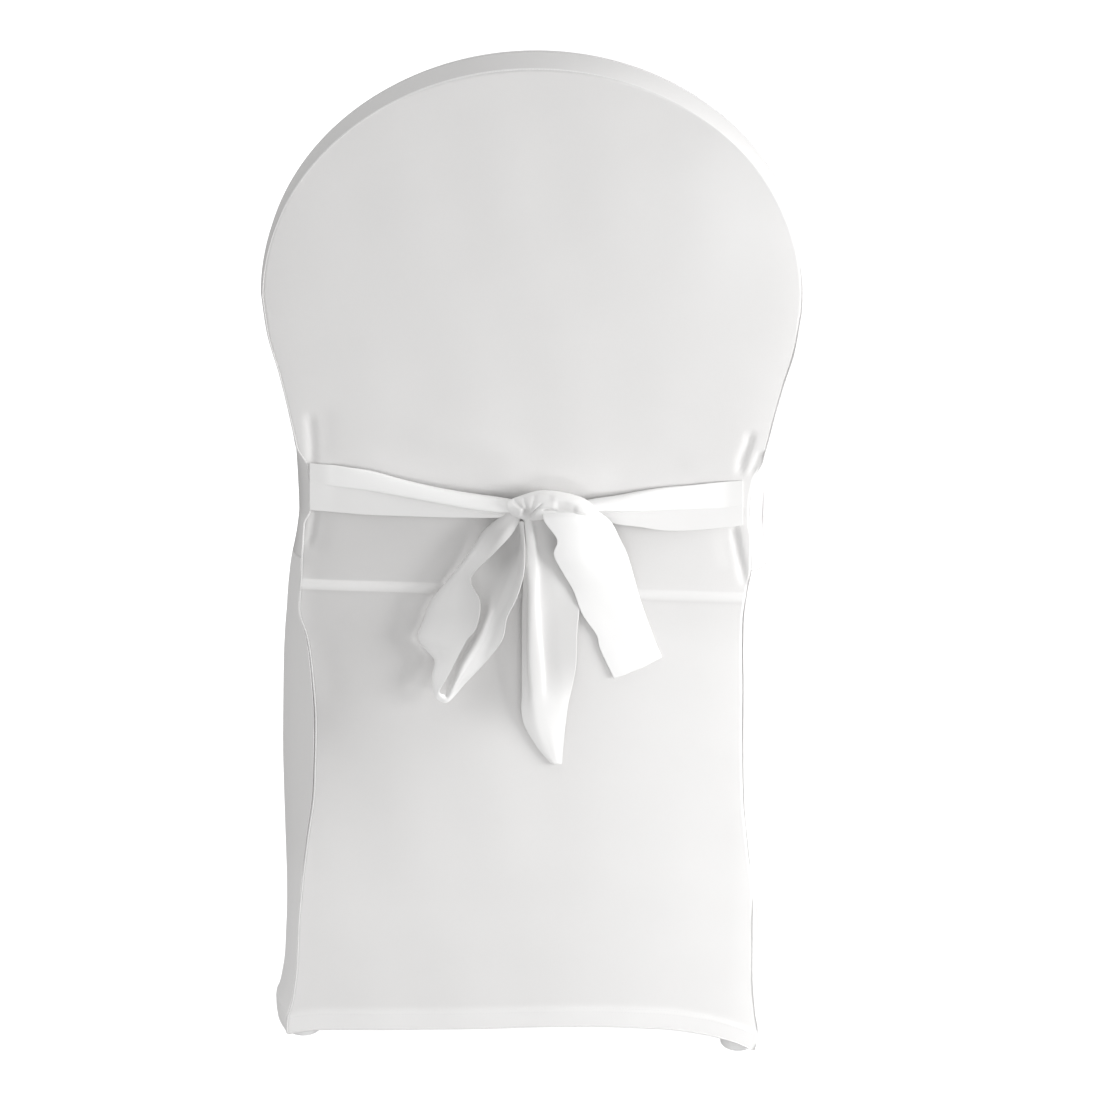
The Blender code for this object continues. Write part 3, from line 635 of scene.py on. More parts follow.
def seat_grid():
    seat = np.array([SEAT_HEIGHT])
    front_turns = np.linspace(45, 90, 7)
    edges = []
    for side in (-1, 1):
        edge = side_rows(seat, side)[0, len(RIM_PARTS) - 1:]
        edges.append(np.concatenate([edge, corner_points(seat, side, front_turns)[0, 1:]]))
    left, right = edges
    grid = rows_between(left, right)
    across = 2 * COLUMNS[None, :] - 1
    along = ((left[:, 1] - left[0, 1]) / (left[-1, 1] - left[0, 1]))[:, None]
    crown = np.clip(1 - np.abs(2 * along - 1) ** 5, 0, 1) * (1 - np.abs(across) ** 5)
    grid[..., 2] += SEAT_CROWN * crown + unevenness(grid[..., 0], grid[..., 1], 15) * (crown > 0.05)
    return grid


seat_panel = panel("seat_cloth", seat_grid(), (0, 0, 1), COVER_KNIT, ["seat_panel"])


# ---- seams -------------------------------------------------------------------------------------
# Every two panels are overlocked together on the inside. Outside, the seam shows as a fine raised
# line where the edges roll up against each other, tighter at each stitch.
SEAM_WIDTH = 1.7 * MM
SEAM_HEIGHT = 0.45 * MM
SEAM_SUNK = 0.35 * MM                 # where two panels meet at an angle
STITCH = 2.6 * MM
ROUND = np.linspace(0, 2 * math.pi, 10, endpoint=False)      # places round a rolled edge


def directions(line):
    """Unit vectors along a line of points."""
    steps = np.gradient(line, axis=0)
    return steps / np.linalg.norm(steps, axis=1)[:, None]


def roll(name, line, sideways, outwards, size, made_of, sunk=0.0):
    """A rounded roll of cloth along a line, from half its width and half its height."""
    grid = (line[:, None] + sideways[:, None] * (size[0] * np.cos(ROUND))[None, :, None]
            + outwards[:, None] * (size[1] * np.sin(ROUND) - sunk)[None, :, None])
    weave = np.broadcast_arrays(ROUND[None, :] * size[0], travelled(line)[:, None], 0.0)
    return mesh_from(name, grid, quads(*grid.shape[:2], closed=True), np.stack(weave, axis=-1),
                     made_of, [])


def seam(name, line, outwards, sunk=0.0):
    """A welt along a line, half sunk in the cloth or deeper."""
    along = directions(line)
    outwards = np.broadcast_to(np.asarray(outwards, float), line.shape)
    outwards = outwards - along * (outwards * along).sum(axis=1)[:, None]
    outwards /= np.linalg.norm(outwards, axis=1)[:, None]
    size = (0.5 * SEAM_WIDTH, SEAM_HEIGHT)
    return roll(name, line, np.cross(along, outwards), outwards, size, SEAM_CLOTH, sunk)


def seam_cloth(name):
    """The knit where a seam gathers it: the same white, with a shallow dip at each stitch."""
    cloth = Shader(name)
    weave = cloth.node("ShaderNodeAttribute", {"attribute_name": "weave"}, output="Vector")
    along = cloth.node("ShaderNodeSeparateXYZ", sockets={0: weave}, output="Y")
    dip = (along * (2 * math.pi / STITCH)).sine() * 0.5 + 0.5
    grain = cloth.noise(500.0, 2.0)
    tone = cloth.mix(0.6 * dip + 0.4 * grain, (0.83, 0.825, 0.82), (0.89, 0.885, 0.88))
    bump = cloth.node("ShaderNodeBump", sockets={
        "Strength": 0.5, "Distance": 0.3 * MM, "Height": dip + 0.3 * grain}, output="Normal")
    return cloth.finish(Base_Color=tone, Roughness=0.60 + 0.08 * grain, Normal=bump)


SEAM_CLOTH = seam_cloth("seam_cloth")


def sampled(values, line, at):
    """Values kept for a line's points, read at some distances along it."""
    gone = travelled(line)
    return np.stack([np.interp(at, gone, values[:, axis]) for axis in range(3)], axis=1)


def closer(line, step=2.0 * MM):
    """The same line with points an even step apart."""
    length = travelled(line)[-1]
    return sampled(line, line, np.linspace(0, length, max(int(length / step), 2)))


def rear_seam_line():
    """The rear seam stands up a little on its left side; on its right it lies flush with the rear."""
    heights = np.concatenate([SKIRT_ROWS, WAIST_ROWS])
    sides = []
    for side in (-1, 1):
        points, way_out, inset = whole_seam(heights, side)
        level = rear(points[:, 2]) - rear_relief(points[:, 0], points[:, 2])
        points = np.stack([points[:, 0], level, points[:, 2]], axis=-1)
        flush = ease((points[:, 0] + 0.03) / 0.12)[:, None]
        raised = way_out * 0.6 + np.array([0, -0.8, 0])
        points += lerp(-SEAM_SUNK * raised, np.array([0, 0.5 * SEAM_WIDTH, 0]), flush)
        sides.append((points, lerp(raised, way_out, flush)))
    return [over_head(*pair) for pair in zip(*sides)]


seam("seam_rear", *rear_seam_line())


def front_rim_line(part):
    """A line along the rim band, at one share of its depth, and the way out of it."""
    sides = []
    for side in (-1, 1):
        station = whole_seam(BACK_ROWS, side)
        points = rim_points(station, [part])[:, 0]
        sides.append((points, station[1] * 0.7 + forward(points[:, 2]) * 0.7))
    return [over_head(*pair) for pair in zip(*sides)]


TOPSTITCH = 0.80                      # the row that holds the front seam's turnings down
seam("seam_rim_front", *front_rim_line(1.0), SEAM_SUNK)
seam("seam_rim_topstitch", *front_rim_line(TOPSTITCH))

SEAT_EDGE = np.array([SEAT_HEIGHT])
for side, hand in ((-1, "left"), (1, "right")):
    edge = closer(side_rows(SEAT_EDGE, side)[0, len(RIM_PARTS) - 1:])
    seam("seam_seat_" + hand, edge, (side, 0, 1), SEAM_SUNK)
    edge = corner_points(SKIRT_ROWS, side, [45])[:, 0]
    seam("seam_corner_" + hand, edge, (side, 1, 0), SEAM_SUNK)
corners = [corner_points(SEAT_EDGE, side, np.linspace(45, 90, 7))[0] for side in (-1, 1)]
seam("seam_seat_front", closer(np.concatenate([corners[0], corners[1][::-1]])), (0, 1, 1))
back_edge = [rim_points(rear_seam(SEAT_EDGE, side), [1.0])[0, 0] for side in (-1, 1)]
seam("seam_seat_back", closer(np.stack(back_edge)), (0, 1, 1))


# ---- hems --------------------------------------------------------------------------------------
# Round the foot of the skirt the knit is turned up inside and held by two rows of small stitches.
# The fold at the very edge is a soft round bead.
HEM_BEAD = 0.95 * MM
STITCH_ROWS = (11, 14)                # rows of the skirt's grids that the needles follow
STITCH_STEP = 3.0 * MM
STITCH_SIZE = (2.1 * MM, 0.55 * MM, 0.30 * MM)


def facing(grid, row, outwards):
    """The way out of a panel at each point of one row."""
    across = np.gradient(grid[row], axis=0)
    up = grid[row + 1] - grid[row]
    normals = np.cross(across, up)
    normals /= np.linalg.norm(normals, axis=1)[:, None]
    return normals * np.sign(np.dot(normals[len(normals) // 2], outwards))


def bead(name, line):
    """The round fold of cloth at a hem's edge."""
    along = directions(line)
    first = np.cross(along, np.array([0.0, 0.0, 1.0]))
    first /= np.linalg.norm(first, axis=1)[:, None]
    return roll(name, line, first, np.cross(along, first), (HEM_BEAD, HEM_BEAD), COVER_KNIT)


def stitch_row(line, normals):
    """The points and faces of small rounded stitches along a line on a panel."""
    at = np.arange(STITCH_STEP, travelled(line)[-1] - STITCH_STEP, STITCH_STEP)
    middles, outs, alongs = (sampled(v, line, at) for v in (line, normals, directions(line)))
    sides = np.cross(alongs, outs)
    shape = [(-0.5, 0, 0.1), (-0.2, 0.5, 0.1), (0.2, 0.5, 0.1), (0.5, 0, 0.1), (0.2, -0.5, 0.1),
             (-0.2, -0.5, 0.1), (-0.22, 0, 1), (0.22, 0, 1)]
    points = np.concatenate([
        (middles + alongs * a * STITCH_SIZE[0] + sides * b * STITCH_SIZE[1]
         + outs * c * STITCH_SIZE[2])[:, None] for a, b, c in shape], axis=1)
    pattern = [(0, 1, 6), (1, 2, 7, 6), (2, 3, 7), (3, 4, 7), (4, 5, 6, 7), (5, 0, 6)]
    faces = [tuple(8 * stitch + corner for corner in face)
             for stitch in range(len(middles)) for face in pattern]
    return points.reshape(-1, 3), faces


def thread(name, light):
    """Spun polyester thread, with its twist."""
    made = Shader(name)
    twist = made.noise(900.0, 1.0)
    tone = made.mix(twist, [0.94 * c for c in light], light)
    return made.finish(Base_Color=tone, Roughness=0.45 + 0.15 * twist)


WHITE_THREAD = thread("white_thread", (0.87, 0.87, 0.865))
skirt = (("rear", rear_grid, (0, -1, 0)), ("left", side_grids[-1], (-1, 0, 0)),
         ("right", side_grids[1], (1, 0, 0)), ("front", front_grid, (0, 1, 0)))
for place, grid, outwards in skirt:
    inward = facing(grid, 0, outwards) * -0.5 * CLOTH
    bead("hem_fold_" + place, grid[0] + inward)
    points, faces = [], []
    for row in STITCH_ROWS:
        more, pattern = stitch_row(grid[row], facing(grid, row, outwards))
        faces += [tuple(corner + sum(map(len, points)) for corner in face) for face in pattern]
        points.append(more)
    points = np.concatenate(points)
    mesh_from("hem_stitches_" + place, points, faces, 0 * points, WHITE_THREAD, [])


# ---- foot pockets ------------------------------------------------------------------------------
# A cup of doubled knit in each corner takes a foot of the chair and anchors the stretched skirt.
# Its wall wrinkles a little, and its sole is flat on the floor.
POCKET_RADIUS = 16.5 * MM
POCKET_HEIGHT = 40 * MM
POCKET_ROUND = 6 * MM
POCKET_CLOTH = 1.4 * MM
POCKETS = {"rear_left": (-0.2020, -0.2062), "rear_right": (0.2046, -0.2062),
           "front_left": (-0.2061, 0.2444), "front_right": (0.2061, 0.2444)}


def pocket_grid(middle, seed):
    """Rings from the pocket's rim down its wall, round to the middle of the sole."""
    heights = np.linspace(POCKET_HEIGHT, POCKET_ROUND, 26)
    turns = np.radians(np.linspace(0, 90, 9))[1:]
    radii = np.concatenate([
        np.full(len(heights), POCKET_RADIUS), POCKET_RADIUS - POCKET_ROUND * (1 - np.cos(turns)),
        np.array([8.0, 5.0, 2.5, 0.6]) * MM])
    heights = np.concatenate([heights, POCKET_ROUND * (1 - np.sin(turns)), np.zeros(4)])
    around = np.linspace(0, 2 * math.pi, 73)[None, :]
    phases = np.random.default_rng(seed).uniform(0, 2 * math.pi, 3)
    wrinkle = sum(np.sin(count * around + heights[:, None] * twist + phase)
                  for count, twist, phase in zip((5, 8, 13), (90, -140, 220), phases))
    radii = radii[:, None] - 0.16 * MM * (1.5 + wrinkle) * ease(heights / 0.012)[:, None]
    return np.stack([middle[0] + radii * np.cos(around), middle[1] + radii * np.sin(around),
                     np.broadcast_to(heights[:, None], radii.shape)], axis=-1)


# painted light: the pockets' knit is whiter than the cover's, against the shade under the hem
POCKET_KNIT = knit("pocket_knit", (0.940, 0.938, 0.934), (0.910, 0.908, 0.904), (0.95, 0.95, 0.95),
                   0.60, 0.35)
for seed, (place, middle) in enumerate(POCKETS.items()):
    cup = pocket_grid(middle, 20 + seed)
    outwards = cup[len(cup) // 2, cup.shape[1] // 2] - np.array([*middle, 0.02])
    pocket = panel("pocket_" + place, cup, outwards, POCKET_KNIT, ["foot_pocket_" + place],
                   thickness=POCKET_CLOTH)


# ---- ties --------------------------------------------------------------------------------------
# Two strips of the same knit with a satin face, one sewn into each side seam at the waist. They are
# drawn round to the rear and knotted; the upper half of each folds over its lower half.
# Nets of points across each strip: sideways, up, and out from the rear face, in mm.
SASH = 0.8 * MM
NET_ALONG = 12                        # steps between a net's rows
NET_ACROSS = 9                        # and between its columns
TIE_LEFT = (
    ((-196.1, 553, 0.3), (-196.1, 551.3, 0.4), (-196.2, 542.9, 0.4), (-196.2, 534.4, 0.4),
     (-196.2, 532.8, 0.6), (-196.2, 521.3, 0.9), (-196.2, 509.1, 0.3)),
    ((-184.9, 552.5, 0.8), (-184.9, 550.8, 1), (-184.9, 542.8, 1.1), (-185, 534.5, 1.1),
     (-185, 532.8, 1.1), (-184.9, 521.1, 1.4), (-185, 508.7, 0.8)),
    ((-174.1, 552, 1.2), (-174.1, 550.5, 1.7), (-174.1, 542.2, 2), (-174.1, 533.7, 2.1),
     (-174.2, 531.9, 1.4), (-174.1, 520.4, 1.8), (-174.1, 508.2, 1.2)),
    ((-159.7, 550.4, 2.2), (-159.7, 549, 3.2), (-159.7, 541.1, 3.6), (-159.6, 532.8, 3.8),
     (-159.8, 530.7, 2.5), (-159.7, 519.6, 2.8), (-159.7, 507.6, 2.2)),
    ((-140, 547.6, 2.2), (-139.9, 546.3, 4.2), (-139.8, 539, 5.6), (-139.8, 531.3, 5.8),
     (-140, 528.9, 3.6), (-139.9, 518.5, 4), (-139.9, 507.2, 3.4)),
    ((-111.3, 540.5, 3.2), (-111.2, 539.4, 6.2), (-111.1, 533.6, 8.1), (-111, 527.4, 8.4),
     (-111.2, 524.8, 5.5), (-111.1, 516.7, 5.8), (-111.1, 507.7, 5.2)),
    ((-81.7, 534.6, 4.2), (-81.5, 533.6, 8.2), (-81.4, 528.8, 10.6), (-81.3, 523.5, 11),
     (-81.5, 520.8, 7.7), (-81.5, 515, 8), (-81.4, 508.4, 7.4)),
    ((-52.1, 530.6, 5.4), (-51.9, 529.7, 10.2), (-51.8, 524.9, 13.2), (-51.7, 519.7, 13.6),
     (-51.9, 516.9, 9.8), (-51.8, 513.6, 10.2), (-51.8, 509.5, 9.6)),
    ((-27.9, 528.4, 7), (-27.8, 527.5, 12.4), (-27.6, 523.3, 15.8), (-27.5, 518.5, 16.2),
     (-27.7, 515.6, 12.2), (-27.6, 513.8, 12.6), (-27.6, 511, 12)),
    ((-10.9, 526.3, 9), (-10.7, 525.4, 14.4), (-10.6, 522.7, 17.6), (-10.6, 519.6, 18),
     (-10.7, 516.8, 14.2), (-10.6, 515.6, 14.6), (-10.6, 513.6, 14)))
TIE_RIGHT = (
    ((189.9, 549, 0.3), (189.9, 547.3, 0.4), (190.3, 536.8, 0.4), (190.7, 526.1, 0.4),
     (190.8, 524.4, 0.6), (191.1, 516.3, 0.9), (191.4, 507.4, 0.3)),
    ((180.2, 548, 0.8), (180.2, 546.3, 0.9), (180.6, 535.7, 1), (181, 525, 1),
     (181, 523.4, 1.1), (181.3, 514.8, 1.4), (181.7, 505.4, 0.8)),
    ((169.5, 546.9, 1.4), (169.6, 545.2, 1.6), (170, 534.7, 1.7), (170.3, 524, 1.7),
     (170.4, 522.3, 1.6), (170.7, 513.7, 2), (171, 504.3, 1.4)),
    ((143, 543.3, 2.2), (143.1, 541.7, 3.2), (143.4, 532.4, 3.8), (143.7, 522.9, 3.9),
     (143.7, 521.1, 3.5), (144, 511.8, 3.8), (144.4, 501.8, 3.2)),
    ((119.2, 540.5, 3.2), (119.2, 539, 5.6), (119.5, 530.7, 6.8), (119.7, 522.1, 6.9),
     (119.8, 520.2, 6), (120, 511.4, 6.3), (120.3, 501.8, 5.7)),
    ((98.9, 536.9, 4.4), (98.9, 535.6, 8), (99.1, 528.8, 10.3), (99.3, 521.6, 10.5),
     (99.4, 519.5, 8.8), (99.6, 512.7, 9.1), (99.8, 505.2, 8.5)),
    ((80.4, 533, 5.6), (80.5, 531.9, 10.5), (80.6, 527, 14), (80.7, 521.8, 14.3),
     (80.8, 519.3, 11.8), (80.9, 514, 12.1), (81.1, 507.9, 11.5)),
    ((63.6, 530.3, 7), (63.7, 529.3, 12.5), (63.8, 526.1, 16.6), (63.9, 522.5, 16.9),
     (63.9, 519.9, 13.8), (64, 516.4, 14.1), (64.1, 512.1, 13.5)),
    ((49.5, 528, 9), (49.6, 527, 14), (49.7, 525, 18.1), (49.8, 522.5, 18.4),
     (49.7, 519.9, 15.2), (49.8, 517.8, 15.6), (49.8, 514.8, 15)))


def through(points, steps):
    """Smooth in-between points along the first axis, with so many steps to a stretch."""
    last = len(points) - 1
    places = np.linspace(0, last, last * steps + 1)
    i = np.minimum(places.astype(int), last - 1)
    t = (places - i).reshape(-1, *[1] * (points.ndim - 1))
    p, q, r, s = (points[np.clip(i + step, 0, last)] for step in (-1, 0, 1, 2))
    return 0.5 * (2 * q + (r - p) * t + (2 * p - 5 * q + 4 * r - s) * t ** 2
                  + (3 * q - p - 3 * r + s) * t ** 3)


def from_net(net, along=NET_ALONG, across=NET_ACROSS):
    """The grid of a strip of sash cloth, from its net."""
    points = through(np.array(net, float) * MM, along)
    points = np.swapaxes(through(np.swapaxes(points, 0, 1), across), 0, 1)
    x, z, out = points[..., 0], points[..., 1], points[..., 2]
    out = np.maximum(out, rear_relief(x, z) + 0.7 * SASH)
    return np.stack([x, rear(z) - out, z], axis=-1)


def strip(name, net, made_of, replaced, backing_and_light=None):
    """A strip of the sash as a closed sheet."""
    return panel(name, from_net(net), (0, -1, 0), made_of, replaced, offset=0.0, thickness=SASH,
                 backing_and_light=backing_and_light, even=False)


def places(net):
    """How far along and across its net each point of a strip lies, in rows and columns."""
    rows, columns = (len(net) - 1) * NET_ALONG + 1, (len(net[0]) - 1) * NET_ACROSS + 1
    return (np.linspace(0, len(net) - 1, rows)[:, None],
            np.linspace(0, len(net[0]) - 1, columns)[None, :])


def doubled_and_lit(net, rows_in, painted_shade):
    """Whiter in a tie's upper half, from a few rows in, where it is folded double: painted light on
    the fold, which faces up. All of it is greyer by `painted_shade`, painted shade under the fold."""
    along, across = places(net)
    return 0.7 * ease((along - 0.6) / rows_in) * ease((3.4 - across) / 0.4) - painted_shade


SASH_KNIT = knit("sash_knit", (0.968, 0.964, 0.956), (0.934, 0.930, 0.924), (0.985, 0.983, 0.978),
                 0.50, 0.20)
tie_left = strip("sash_tie_left", TIE_LEFT, SASH_KNIT, ["tie_left"], doubled_and_lit(TIE_LEFT, 3.0, 0.24))
tie_right = strip("sash_tie_right", TIE_RIGHT, SASH_KNIT, ["tie_right"],
                  doubled_and_lit(TIE_RIGHT, 4.0, 0.26))


# ---- knot --------------------------------------------------------------------------------------
# The ties cross and are drawn tight: the left one's folds fan into a pinched centre, and the
# right one wraps over them as a soft roll.
# Rings round the knot: sideways, lowest, highest, front and back, in mm.
KNOT_RINGS = (
    (-18, 520.5, 527.5, 19.5, 15), (-12, 515.0, 530.0, 21, 11), (-4, 512.0, 533.0, 22.5, 9),
    (4, 511.5, 536.0, 24, 8), (13, 513.0, 537.8, 26, 7), (22, 514.5, 537.8, 27.5, 7),
    (31, 515.5, 536.8, 29, 7), (40, 515.5, 535.0, 30, 7), (50, 513.0, 531.6, 29.5, 8),
    (57, 510.0, 526.0, 27, 11), (62, 509.5, 517.0, 23, 15))
KNOT_FOLDS = (
    (-1.5, 1.8, ((0, 518), (-7, 525), (-15, 531))),
    (-1.3, 1.7, ((1, 519), (-2, 527), (-4, 534))),
    (-1.0, 1.8, ((3, 520), (5, 528), (7, 537))),
    (-1.8, 0.9, ((3.5, 518.5), (8, 524), (14, 530))),
    (-4.0, 4.5, ((-6, 521), (0, 518), (5, 515))),
    (-3.0, 0.8, ((12.5, 523.3), (20, 524.3), (27.5, 523.8))),
    (-1.3, 6.0, ((22, 528), (34, 528), (46, 526))),
    (1.4, 3.0, ((18, 535), (34, 534), (48, 530))),
    (-1.2, 1.4, ((55, 523), (60, 521), (63, 514))),
)


def knot_grid():
    rings = through(np.array(KNOT_RINGS, float) * MM, 14)
    x, low, high, front, back = rings.T
    turns = np.linspace(0, 2 * math.pi, 145)[None, :]
    half_up, half_out = 0.5 * (high - low)[:, None], 0.5 * (front - back)[:, None]
    z = 0.5 * (high + low)[:, None] + half_up * np.sin(turns)
    facing_out = np.cos(turns)
    x = np.broadcast_to(x[:, None], z.shape)
    relief = soft_folds(x, z, KNOT_FOLDS) * ease(2 * facing_out)
    out = 0.5 * (front + back)[:, None] + half_out * facing_out + relief
    grid = np.stack([x, rear(z) - out, z], axis=-1)
    ends = [np.broadcast_to(grid[end].mean(axis=0), grid[end].shape) for end in (0, -1)]
    return np.concatenate([ends[0][None], grid, ends[1][None]])


def knot_shade(x, z):
    """Painted shade: the fan and the hollow, which face away from the light, are greyer than the
    roll.
    """
    return -humps(x, z, ((0.55, (-0.002, 0.519), (0.013, 0.010)),
                         (0.36, (0.041, 0.523), (0.017, 0.010))))


knot_points = knot_grid()
knot = panel("sash_knot", knot_points, (0, -1, 0), SASH_KNIT, ["knot"], thickness=SASH,
             backing_and_light=knot_shade(knot_points[..., 0], knot_points[..., 2]))


# ---- loop of the half bow ----------------------------------------------------------------------
# The left tie's end, doubled back on itself. It hangs open towards the rear, so its hollow shows
# between two pale edges that meet in a narrow turn at the bottom.
LOOP = (
    ((-17.9, 517.3, 12), (-16.1, 518.9, 14), (-14.2, 518.4, 15), (-12.4, 517.6, 15.5),
     (-10.6, 515.7, 15), (-8, 513.6, 14), (-6.2, 511.2, 12)),
    ((-36.5, 498.1, 5), (-37.4, 499.3, 9), (-35.5, 500.2, 12), (-30.3, 501.1, 14.4),
     (-25.4, 500.7, 16.1), (-19.8, 499.5, 17.7), (-14.7, 496.6, 16)),
    ((-48.8, 478.7, 3), (-49.6, 480.3, 8), (-47.5, 482.2, 14), (-42.4, 482.5, 15.9),
     (-37.5, 482.5, 17.2), (-32.4, 482.2, 18.6), (-28.9, 480.9, 19.5)),
    ((-63.7, 457, 2.5), (-64.5, 458.7, 8), (-62.3, 461, 15), (-57.9, 461, 17.2),
     (-54.8, 460.4, 18.6), (-51.8, 459.4, 20.2), (-49.3, 458.2, 22)),
    ((-84, 430.4, 2.5), (-84.8, 432.2, 8), (-81.6, 434.6, 15), (-70.5, 438.1, 18.8),
     (-59.5, 439.2, 21.6), (-48.6, 439.5, 25.2), (-40.5, 438.7, 29)),
    ((-91.5, 410.5, 2.5), (-92.2, 412.4, 8), (-89, 414.5, 14), (-73.1, 417.7, 19.2),
     (-60, 417.9, 22.8), (-49.6, 416.9, 26.3), (-43.3, 415.5, 29)),
    ((-96.2, 394.6, 3), (-96.9, 396.3, 8), (-93.8, 398.5, 14), (-79.1, 398.8, 18.8),
     (-67.9, 399.2, 21.8), (-57.5, 400.5, 24.7), (-51.7, 402.3, 26.5)),
    ((-88.8, 384.4, 3.7), (-89.5, 386.1, 8.4), (-86.4, 388.3, 14), (-76.9, 388.6, 17.5),
     (-69.3, 388.7, 19.9), (-62.3, 389, 21.9), (-57.4, 389.9, 23.2)),
    ((-80.8, 374.6, 5.2), (-81.6, 376.3, 9.5), (-79.7, 378.3, 14.2), (-75.1, 377.5, 16.3),
     (-70.7, 377.1, 17.8), (-66.9, 376.6, 19), (-63.2, 377, 20)),
    ((-82.7, 359.6, 7.7), (-83.5, 361, 11.2), (-82.1, 362.4, 14.6), (-78.7, 361.4, 16.3),
     (-75.7, 361.3, 17.2), (-73, 361.3, 18.1), (-70.7, 361.7, 18.7)),
    ((-81.6, 346.6, 15), (-80.9, 346.9, 15.7), (-80.2, 347.7, 16.3), (-79.3, 348.4, 16.8),
     (-78.3, 349.1, 17.2), (-77.4, 349.7, 17.6), (-76.1, 350.3, 17.6)),
    ((-75.7, 340, 14.6), (-75.2, 341.3, 15.2), (-74.8, 342.4, 15.7), (-74.3, 343.6, 16.2),
     (-73.8, 344.6, 16.3), (-73.4, 345.4, 15.9), (-72.6, 346.3, 14.6)),
    ((-67.6, 340.3, 14.6), (-67.8, 341.4, 15), (-67.9, 342.6, 15.5), (-68.1, 343.5, 15.5),
     (-68.3, 344.7, 15), (-69.2, 345.7, 12.9), (-70.7, 347.1, 10.8)),
    ((-52.9, 357.9, 14.9), (-55.2, 357.8, 14.8), (-57.5, 358.1, 14.6), (-59.7, 358.5, 14.6),
     (-62, 359.2, 14.2), (-65.6, 358.4, 9.2), (-71.3, 359.1, 5.8)),
    ((-35.7, 378.4, 16.7), (-38.4, 377.6, 16.1), (-42.9, 376.8, 15.6), (-49.2, 376.5, 15.3),
     (-55.1, 377.2, 15.2), (-59.5, 376.2, 9.3), (-66.2, 376.8, 5.1)),
    ((-20.6, 401.6, 21.5), (-25.2, 400.3, 19.5), (-30.7, 399.2, 17), (-36.1, 399.3, 16.3),
     (-42.9, 399.9, 16), (-47.7, 399, 9.8), (-56.6, 399.3, 4.8)),
    ((-16.5, 422.2, 21.5), (-20.2, 421.4, 19.5), (-24.3, 420.9, 17), (-29.3, 421.2, 15.7),
     (-34.3, 421.8, 15.3), (-39.6, 421, 9.1), (-50.7, 420.8, 4.1)),
    ((-8, 441.7, 21), (-10.7, 441, 19), (-15.4, 440, 15), (-21.8, 439.2, 12),
     (-30, 439.1, 9.5), (-38.3, 439.2, 6.4), (-52.8, 439.1, 3.4)),
    ((-2.6, 462.7, 20), (-5, 462, 18), (-8.7, 460.7, 13), (-14.3, 459.4, 9.5),
     (-22.4, 457.7, 6.5), (-33.3, 455.8, 4.5), (-56.7, 455.4, 2.5)),
    ((-1.9, 487, 19), (-3.3, 486.5, 17.5), (-5.2, 485.4, 14), (-7.6, 483.3, 9),
     (-12.3, 481.3, 4.5), (-20.4, 478.5, 2.5), (-39.2, 476.8, 1.6)),
    ((-3.4, 508.6, 15), (-5.2, 509.3, 14.5), (-7, 508.9, 13.5), (-8.9, 508, 12),
     (-11.6, 506.3, 10), (-15.2, 504.1, 7.5), (-19.8, 501.3, 5)))


def loop_shade_and_light():
    """Painted shade that greys the hollow, the slit and the cut edges, over a little grey all over; a
    painted highlight whitens the right limb where it faces the light."""
    along, across = places(LOOP)
    grid = from_net(LOOP)
    x, z = grid[..., 0], grid[..., 2]
    hollow = 0.08 + 0.24 * ease((z - 0.37) / 0.06) + humps(x, z, (
        (0.35, (-0.019, 0.474), (0.011, 0.022)), (0.12, (-0.036, 0.441), (0.020, 0.027)),
        (0.30, (-0.030, 0.500), (0.020, 0.022))))
    slit = 0.22 * ease((across - 3.9) / 0.5) * ease(along - 11) * ease(16.5 - along)
    edge = 0.9 * (1 - ease(np.minimum(across, 6 - across) / 0.12)) * ease(along) * ease(9 - along)
    lit = ease((along - 12) / 1.5) * ease((19 - along) / 2)
    lit = lit * ease((across + 0.2) / 0.8) * ease((3.4 - across) / 0.6)
    return np.clip(lit * 0.15 - np.maximum(np.maximum(hollow, slit), edge), -1, 1)


loop = strip("sash_loop", LOOP, SASH_KNIT, ["bow_loop"], loop_shade_and_light())


